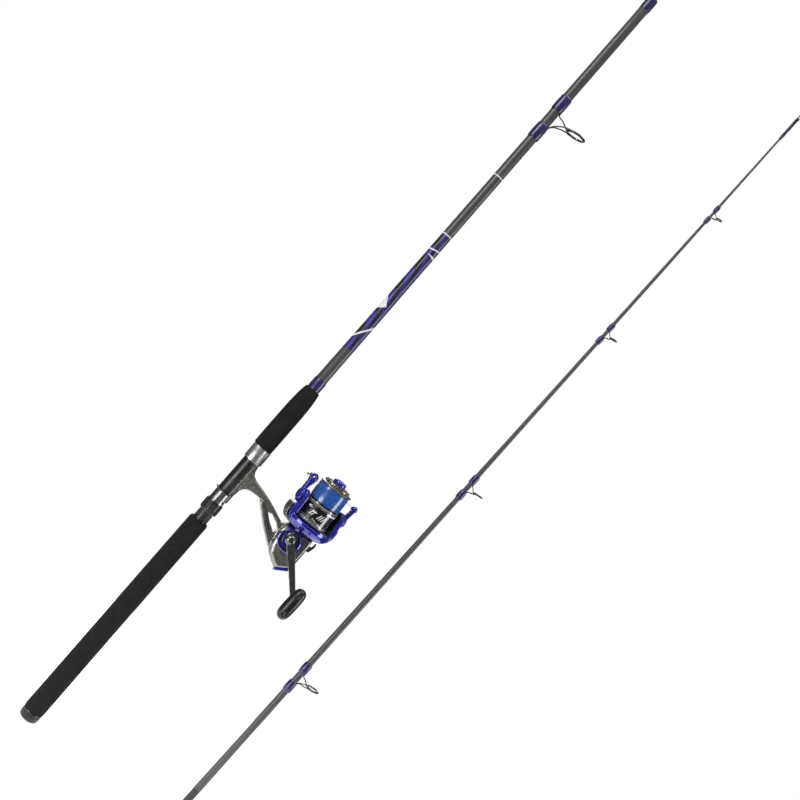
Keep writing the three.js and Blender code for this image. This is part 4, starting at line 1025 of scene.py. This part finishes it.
round_edges(dish, 0.22, 2, 35)
for finish_of_part in (deep_blue_and_shade, black_plastic):
    dish.data.materials.append(finish_of_part.material)
for face in dish.data.polygons:
    face.material_index = 1 if face.center.y > -18.7 * MM else 0
finish(dish, "side_cover_dish", "butt_section", [deep_blue_and_shade, black_plastic], ["side_cover"])

# %% Bezel, rear cap and trim
bezel = turn([(13.9, -20.2), (14.1, -20.9), (14.9, -21.2), (15.7, -20.9), (16.2, -20.0), (16.3, -19.0),
              (15.9, -18.6), (14.3, -18.6), (13.9, -20.2)], 80)
to_y_axis(bezel, *COVER)
finish(bezel, "side_cover_bezel", "butt_section", [blue])
scallops = [(113.9, 363.4), (113.7, 362.2), (114.3, 361.0)]
for i in range(6):
    share = (i + 0.5) / 6
    x, z = 115.2 + 15.0 * share, 360.6 + 9.9 * share
    scallops += [(x - 0.9, z - 0.2), (x + 0.1, z - 0.6), (x + 0.9, z + 0.6)]
scallops += [(131.2, 371.4), (131.7, 373.6), (129.9, 375)]
rear_cover = plate(scallops, -13.5, 13.5)
round_edges(rear_cover, 0.45, 2, 25)
finish(rear_cover, "rear_cap_ribbed", "butt_section", [blue], ["rear_cap"], smooth=50)
trim = plate([(131.0, 381), (132.3, 381.6), (132.6, 392), (132.5, 403.4), (131.2, 404)], -10.5, 10.5)
round_edges(trim, 0.4, 2, 30)
finish(trim, "body_edge_trim", "butt_section", [blue])

# %% Lever and far cap
pivot = turn([(0, 132.2), (4.0, 132.2), (4.2, 132.5), (4.2, 133.8), (3.8, 134.3), (0, 134.3)], 32)
set_place(pivot, Matrix.Translation((0, 0, 409 * MM)) @ Matrix.Rotation(math.radians(90), 4, "Y"))
tab = plate([(132.5, 406.5), (134.4, 405.2), (135.6, 405.8), (137.0, 410), (138.0, 414.4), (138.1, 417.5),
             (137.6, 420.2), (136.4, 420.8), (135.6, 420.2), (135.2, 416), (134.2, 412)], -3, 3)
round_edges(tab, 0.7, 3, 30)
lever = join(pivot, tab)
finish(lever, "anti_reverse_tab", "reverse_switch", [black_plastic], ["anti_reverse_lever"])
far_cap = to_y_axis(turn([(0, 19.9), (9.4, 19.9), (9.8, 20.4), (9.8, 22.2), (9.4, 23), (9.2, 24.2), (8.4, 25.6),
                          (6.4, 26.5), (4.2, 26.7), (3.6, 26.2), (0, 26.2)], 56), *CRANK)
finish(far_cap, "far_side_cap_dome", "butt_section", [black_plastic], ["far_side_cap"])

# %% [markdown]
# ## Crank
# The arm is cast metal, flat-sided, with a ball-shaped hub that screws to the drive shaft, a fold joint with a
# collar, and a boss at its end for the knob's pin.

# %% Arm
HUB_Y = -43
ARM_END = Vector((160.6, -54, 354.6))
hub_at = Vector((CRANK[0], HUB_Y, CRANK[1]))
reach = (ARM_END - hub_at).length
blade = draw_outline([(0, -5.2), (12, -5.2), (15.4, -5.1), (16, -5.9), (18.4, -5.9), (19, -4.8), (34, -4.1),
                      (reach - 7, -3.4), (reach - 3, -4.3), (reach + 1, -4.5), (reach + 3.6, -3.2), (reach + 4.6, 0),
                      (reach + 3.6, 3.2), (reach + 1, 4.5), (reach - 3, 4.3), (reach - 7, 3.4), (34, 4.1), (19, 4.8),
                      (18.4, 5.9), (16, 5.9), (15.4, 5.1), (12, 5.2), (0, 5.2)], -3.6, 3.6)
round_edges(blade, 1.1, 3, 30)
along_arm = (ARM_END - hub_at).normalized()
side = Vector((0, -1, 0)).cross(along_arm).normalized()
front = along_arm.cross(side)
set_place(blade, Matrix((
    (along_arm.x, side.x, front.x, hub_at.x * MM), (along_arm.y, side.y, front.y, hub_at.y * MM),
    (along_arm.z, side.z, front.z, hub_at.z * MM), (0, 0, 0, 1))))
hub = to_y_axis(turn([(0, -50.1), (2.4, -49.9), (4.6, -49.1), (6.3, -47.6), (7.2, -45.4), (7.4, -43), (7.2, -40),
                      (6.8, -37.4), (6.2, -36), (5.9, -35.2), (5.7, -31), (5.7, -26), (5.4, -25), (0, -25)], 56),
                *CRANK)
pin = to_y_axis(turn([(0, -74), (2.9, -74), (3, -73.8), (3, -54), (0, -54)], 32), ARM_END.x, ARM_END.z)
carve(hub, blade, "UNION")
carve(hub, pin, "UNION")
carve(hub, to_y_axis(rod_of(4.1, -36.4, -20), *CRANK))
finish(hub, "crank_arm", "crank", [gunmetal], ["handle_arm"], smooth=35)

# %% [markdown]
# The knob is rubber, long and rounded, with a flat oval pad pressed into each end of its face.

# %% Knob
half_profile = [(0, -23.5), (2.5, -23.2), (4.7, -22.1), (6.6, -20), (7.9, -17), (8.6, -13), (8.94, -7), (9, 0)]
knob_profile = half_profile + [(r, -z) for r, z in reversed(half_profile[:-1])]
knob = turn(knob_profile, 48)
pads = []
for end in (-1, 1):
    begin()
    bpy.ops.mesh.primitive_uv_sphere_add(segments=32, ring_count=16, radius=MM,
                                         location=(0, -9.9 * MM, end * 14.6 * MM), scale=(3.4, 2.5, 4.6))
    bpy.ops.object.transform_apply(location=True, rotation=True, scale=True)
    pads.append(bpy.context.object)
carve(knob, join(*pads))
set_place(knob, Matrix.Translation((ARM_END.x * MM, -71.5 * MM, ARM_END.z * MM))
          @ Matrix.Rotation(math.radians(1.6), 4, "Y"))
stalk = to_y_axis(turn([(0, -70), (5.6, -70), (5.2, -67.6), (5.0, -62), (5.3, -60.6), (4.9, -60), (0, -60)], 40),
                  ARM_END.x, ARM_END.z)
carve(knob, stalk, "UNION")
carve(knob, to_y_axis(rod_of(3.3, -74.4, -58, 32), ARM_END.x, ARM_END.z))
round_edges(knob, 0.35, 2, 35)
finish(knob, "crank_knob", "knob", [rubber], ["handle_knob"], smooth=45)

# %% [markdown]
# ## Rotor
# The rotor is a cup that turns round the neck, with two arms that carry the bail. It is one smooth lacquered
# casting, so it gets the same even skin as the body. It stands part of a turn round the shaft, which brings the
# roller's side nearer and shows the hollow inside the other arm.

# %% Rotor
PIVOT = -33
ROTOR = SHAFT @ Matrix.Rotation(math.radians(28), 4, "Z")
cup = turn([(3.8, -50), (19, -50), (19, -72), (22, -72), (25, -71.7), (28, -70.6), (31, -68.8), (33.6, -65.8),
            (35.2, -62), (35.6, -58.6), (35.2, -57.2), (34.4, -57.4), (33.6, -60), (31.6, -63.2), (28.6, -66),
            (24.6, -68), (20.9, -68.4), (20.8, -47.5), (3.8, -47.5), (3.8, -50)], 72)


def rotor_arm(side, outer):
    """One arm: its side view, narrowed and rounded by its front view."""
    view = [(24, -69.5), (28, -69.0), (32, -67.2), (34.6, -64.6), (36.6, -61), (37.9, -57), (38.4, -52), (38.4, -46.4),
            (outer, -43.8), (outer, -20), (28.4, -20), (28.3, -50), (28.8, -55), (29.4, -58.5), (27.6, -62), (25, -64)]
    arm = plate([(side * x, z) for x, z in view], -14, 14)
    shape = [(-12.4, -75), (12.4, -75), (11.4, -60), (10.5, -46), (10.5, PIVOT)]
    shape += [(10.5 * math.cos(a), PIVOT + 10.5 * math.sin(a)) for a in (math.pi * i / 12 for i in range(1, 12))]
    shape += [(-10.5, PIVOT), (-10.5, -46), (-11.4, -60)]
    low = min(side * 20, side * 45)
    face = draw_outline(shape, low, low + 25)
    set_place(face, Matrix(((0, 0, 1, 0), (1, 0, 0, 0), (0, 1, 0, 0), (0, 0, 0, 1))))
    carve(arm, face, "INTERSECT")
    round_edges(arm, 1.5, 3, 35)
    return arm


left_arm, right_arm = rotor_arm(-1, 34.4), rotor_arm(1, 36.4)
recess = plate([(27, -60), (27, -26.5), (31.4, -27.5), (32.6, -38), (33.0, -48), (32.4, -58)], -8.2, 7.4)
round_edges(recess, 0.9, 3, 30)
carve(right_arm, recess)
for arm in (left_arm, right_arm):
    carve(cup, arm, "UNION")
cast_skin(cup, 0.6, 5, 0.55)
for finish_of_part in (blue, black_plastic):
    cup.data.materials.append(finish_of_part.material)
# Faces inside the hollow of the right arm get the black finish: painted shade, black where the hollow lies in shadow.
for face in cup.data.polygons:
    x, y, z = face.center / MM
    face.material_index = 1 if 28.9 < x < 34 and -8.6 < y < 7.8 and -60 < z < -27 else 0
hinge_pins = []
for low, high in ((-37.8, -34), (36, 39.6)):
    hinge = turn([(0, low), (1.9, low), (2, low + 0.2), (2, high - 0.2), (1.9, high), (0, high)], 28)
    set_place(hinge, Matrix.Translation((0, 0, PIVOT * MM)) @ Matrix.Rotation(math.radians(90), 4, "Y"))
    hinge_pins.append(hinge)
rotor = join(cup, *hinge_pins)
set_place(rotor, ROTOR)
finish(rotor, "rotor_cast", "rotor_body", [blue, black_plastic], ["rotor"], smooth=60)
cover_plate = plate([(-38.9, -46), (-40.2, -46.6), (-41, -48.4), (-41.1, -53), (-40.7, -58), (-39.4, -62.4),
                     (-37.3, -65.8), (-34.9, -68.4), (-33.6, -69), (-32.8, -67.6), (-36.6, -62.4), (-38.7, -55)],
                    -7, 7)
round_edges(cover_plate, 0.9, 3, 30)
set_place(cover_plate, ROTOR)
finish(cover_plate, "arm_cover_plate", "rotor_body", [pewter], ["arm_cover"])

# %% [markdown]
# ## Bail
# The bail is a stiff wire that lays the line on the spool. It is held by an arm with a line roller on one side and
# a small holder on the other, and the whole swings back round two pivots when the angler casts.

# %% Bail arm
ROLLER = (-35.5, -6)
ROLLER_SIDE = 2.5


def across_shaft(profile, sides=48):
    """A turned piece about the bail's pivots: its heights run along the line across the shaft."""
    piece = turn(profile, sides)
    set_place(piece, Matrix.Translation((0, 0, PIVOT * MM)) @ Matrix.Rotation(math.radians(90), 4, "Y"))
    return piece


def at_roller(profile, sides=48):
    """A turned piece about the roller's axis, with heights from the side of the cup that the roller turns on."""
    return to_y_axis(turn([(radius, height + ROLLER_SIDE) for radius, height in profile], sides), *ROLLER)


disc = across_shaft([(0, -40.4), (3.6, -40.3), (6.2, -39.9), (7.8, -39.1), (8.5, -38), (8.5, -35.2), (8.1, -34.8),
                     (0, -34.8)], 56)
link = plate([(-39.4, PIVOT), (-39.6, -24), (-40.4, -15), (-41.2, -9), (-38, -5), (-33, -5), (-30.8, -9.6),
              (-32.2, -13.6), (-33.8, -18), (-34.8, -24), (-34.8, PIVOT)], -4, 2.3)
rib = plate([(-39.4, PIVOT), (-39.5, -22), (-39.2, -14), (-38, -11.6), (-34, -11.6), (-33.6, -16), (-34.8, -22),
             (-34.8, PIVOT)], 0, 5)
cup_end = at_roller([(0, -4), (5.6, -4), (6.3, -3.4), (6.4, -2.6), (6.3, -0.6), (5.8, 0), (0, 0)], 56)
for piece in (link, rib):
    round_edges(piece, 1.3, 3, 40)
for piece in (link, rib, cup_end):
    carve(disc, piece, "UNION")
hinge_hole = across_shaft([(0, -38.2), (2.3, -38.2), (2.3, -30), (0, -30)], 28)
carve(disc, hinge_hole)
carve(disc, at_roller([(0, -6), (1.8, -6), (1.8, 2), (0, 2)], 32))
cast_skin(disc, 0.34, 4, 0.6)
set_place(disc, ROTOR)
finish(disc, "bail_arm_cast", "bail", [blue], ["bail_arm"], smooth=60)

# %% Roller and its screw
roller = at_roller([(1.8, 0.3), (4.2, 0.3), (4.5, 0.7), (4.1, 1.5), (3.5, 2.4), (3.4, 3.3), (3.5, 4.2), (4.1, 5.1),
                    (4.5, 5.9), (4.2, 6.3), (1.8, 6.3), (1.8, 0.3)])
set_place(roller, ROTOR)
finish(roller, "line_roller_groove", "roller", [chrome], ["line_roller"])
screw = at_roller([(0, -4.6), (1.5, -4.6), (1.7, -5.3), (2.0, -5.5), (3.0, -5.5), (3.4, -5.0), (3.4, -4.3),
                   (1.5, -4.3), (1.5, 9.4), (0, 9.4)], 40)
for finish_of_part in (chrome, ceramic):
    screw.data.materials.append(finish_of_part.material)
for face in screw.data.polygons:
    away = math.hypot(face.center.x - ROLLER[0] * MM, face.center.z - ROLLER[1] * MM)
    face.material_index = 1 if away < 1.65 * MM and face.center.y < (ROLLER_SIDE - 4.4) * MM else 0
set_place(screw, ROTOR)
finish(screw, "roller_screw_head", "bail", [chrome, ceramic], ["roller_screw"])

# %% Wire and holder
bail_path = [(-35.5, 12.6, -6), (-35.4, 19, -7.4), (-32, 29, -9.4), (-22.5, 39.5, -11.8), (-6, 46, -13),
             (12, 46, -13.2), (28, 39, -12.6), (39, 26, -11.6), (42.2, 14, -10.6), (41.3, 5.2, -10)]
strand = wire(bail_path, [1.3, 1.1] + [0.95] * 7 + [1.1], 5, steps=8)
cone = at_roller([(0, 9.8), (1.7, 9.8), (1.7, 6.7), (4.6, 6.7), (5, 7.2), (4.7, 9), (3.9, 10.8), (2.6, 12.4),
                  (1.4, 13.4), (0, 13.6)])
bail = join(cone, strand)
set_place(bail, ROTOR)
finish(bail, "bail_wire_bent", "bail", [chrome], ["bail_wire"])
HOLDER = (41.3, -10)
holder = across_shaft([(0, 36.8), (7.6, 36.8), (8, 37.2), (8, 39.6), (7.4, 40.4), (5, 40.8), (0, 40.9)], 48)
shank = plate([(36.8, PIVOT), (36.8, -26), (37.4, -20), (38.6, -14), (39.0, -11), (43.2, -11), (43.4, -14),
               (42.2, -21), (41.2, -27), (40.9, PIVOT)], -3.8, 3.8)
round_edges(shank, 1.2, 3, 40)
button = to_y_axis(turn([(0, -4.2), (1.8, -4.1), (3.2, -3.5), (4.2, -2.2), (4.6, 0), (4.4, 2.4), (3.4, 4.2), (2, 4.8),
                         (0, 4.9)], 48), *HOLDER)
for piece in (shank, button):
    carve(holder, piece, "UNION")
carve(holder, across_shaft([(0, 30), (2.3, 30), (2.3, 39.9), (0, 39.9)], 28))
cast_skin(holder, 0.34, 4, 0.6)
set_place(holder, ROTOR)
finish(holder, "bail_holder_cast", "bail", [blue], ["bail_holder"], smooth=60)

# %% [markdown]
# ## Spool
# The spool is turned: a lip over which the line runs off, an arbor under the line, and a deep skirt over the
# rotor's cup. Its front ring is bronze and has ports bored in it.

# %% Spool
spool = turn([(2.2, -31), (21.6, -31), (21.6, -57.4), (21.9, -57.7), (23.3, -57.7), (23.75, -57.3), (23.75, -51),
              (23.55, -50.8), (23.55, -50.3), (23.75, -50.1), (23.75, -31.6), (23.55, -31.4), (23.55, -30.9),
              (23.75, -30.7), (23.75, -27.6), (23.4, -27), (15, -25.6), (15, -3), (23.6, -1.9), (24.1, -1.6),
              (24.35, -1.0), (24.1, -0.3), (23.4, 0), (20.4, 0.5), (19.6, 0.9), (19.3, 1.8), (19.2, 3.4),
              (18.8, 4), (17.6, 4.1), (17.2, 3.8), (11.4, 3.8), (11, 4.1), (10.5, 4), (10.3, 3.6), (10.3, -8),
              (2.2, -8), (2.2, -31)], 80)
ports = []
for i in range(10):
    angle = math.radians(36 * i + 9)
    begin()
    bpy.ops.mesh.primitive_cylinder_add(vertices=24, radius=2.1 * MM, depth=4 * MM, location=(
        14.3 * MM * math.cos(angle), 14.3 * MM * math.sin(angle), 3.6 * MM))
    ports.append(bpy.context.object)
carve(spool, join(*ports))
notches = []
for i in range(20):
    angle = math.radians(18 * i)
    begin()
    bpy.ops.mesh.primitive_cylinder_add(vertices=14, radius=0.9 * MM, depth=5 * MM, location=(
        19.9 * MM * math.cos(angle), 19.9 * MM * math.sin(angle), 3.4 * MM))
    notches.append(bpy.context.object)
carve(spool, join(*notches))
round_edges(spool, 0.12, 2, 40)
spool.data.materials.append(skirt_black.material)
spool.data.materials.append(bronze.material)
for face in spool.data.polygons:
    face.material_index = 1 if face.center.z > -3.2 * MM else 0
set_place(spool, SHAFT)
finish(spool, "spool_turned", "spool_body", [skirt_black, bronze], ["spool"], smooth=35)

# %% Line on the spool
coils = turn([(15.3, -25.1), (22.0, -26.0), (22.5, -25.6), (22.9, -22), (23.05, -14), (22.9, -7), (22.5, -3.2),
              (22.1, -2.7), (15.3, -3.5), (15.3, -25.1)], 96)
set_place(coils, SHAFT)
finish(coils, "line_on_spool", "spool_body", [line], ["wound_line"])

# %% Drag knob
drag = turn([(0, 3.4), (2.2, 3.4), (2.2, -4.6), (9.0, -4.6), (9.3, -4.3), (9.6, -3.4), (9.6, 7.2), (9.4, 8.6),
             (8.8, 9.8), (7.8, 10.5), (6.6, 10.6), (6.2, 10.1), (5.4, 9.8), (0, 9.8)], 72)
grips = []
for i in range(16):
    angle = math.radians(22.5 * i)
    begin()
    bpy.ops.mesh.primitive_cylinder_add(vertices=16, radius=1.2 * MM, depth=7.5 * MM, location=(
        10.35 * MM * math.cos(angle), 10.35 * MM * math.sin(angle), 4.0 * MM))
    grips.append(bpy.context.object)
carve(drag, join(*grips))
round_edges(drag, 0.2, 2, 40)
set_place(drag, SHAFT)
finish(drag, "drag_knob_fluted", "drag", [blue], ["drag_knob"], smooth=35)

# %% [markdown]
# ## Working parts
# The gears, bearings and shaft keep their shapes from the frame. Only their finish is new.

# %% Finishes of the working parts
WORKING = {
    "drive_gear": brass, "oscillation_gear": black_plastic, "oscillation_slider": brass, "pinion_gear": brass,
    "pinion_bearing": chrome, "drive_bearing_near": chrome, "drive_bearing_far": chrome, "main_shaft": chrome,
    "rotor_nut": steel, "drag_washer": steel,
}
for name, made in WORKING.items():
    materials = nodes[name].data.materials
    materials.clear()
    materials.append(made.material)
shown = [name for name, node in nodes.items() if not node.hide_render]
print("nodes that still show:", shown)
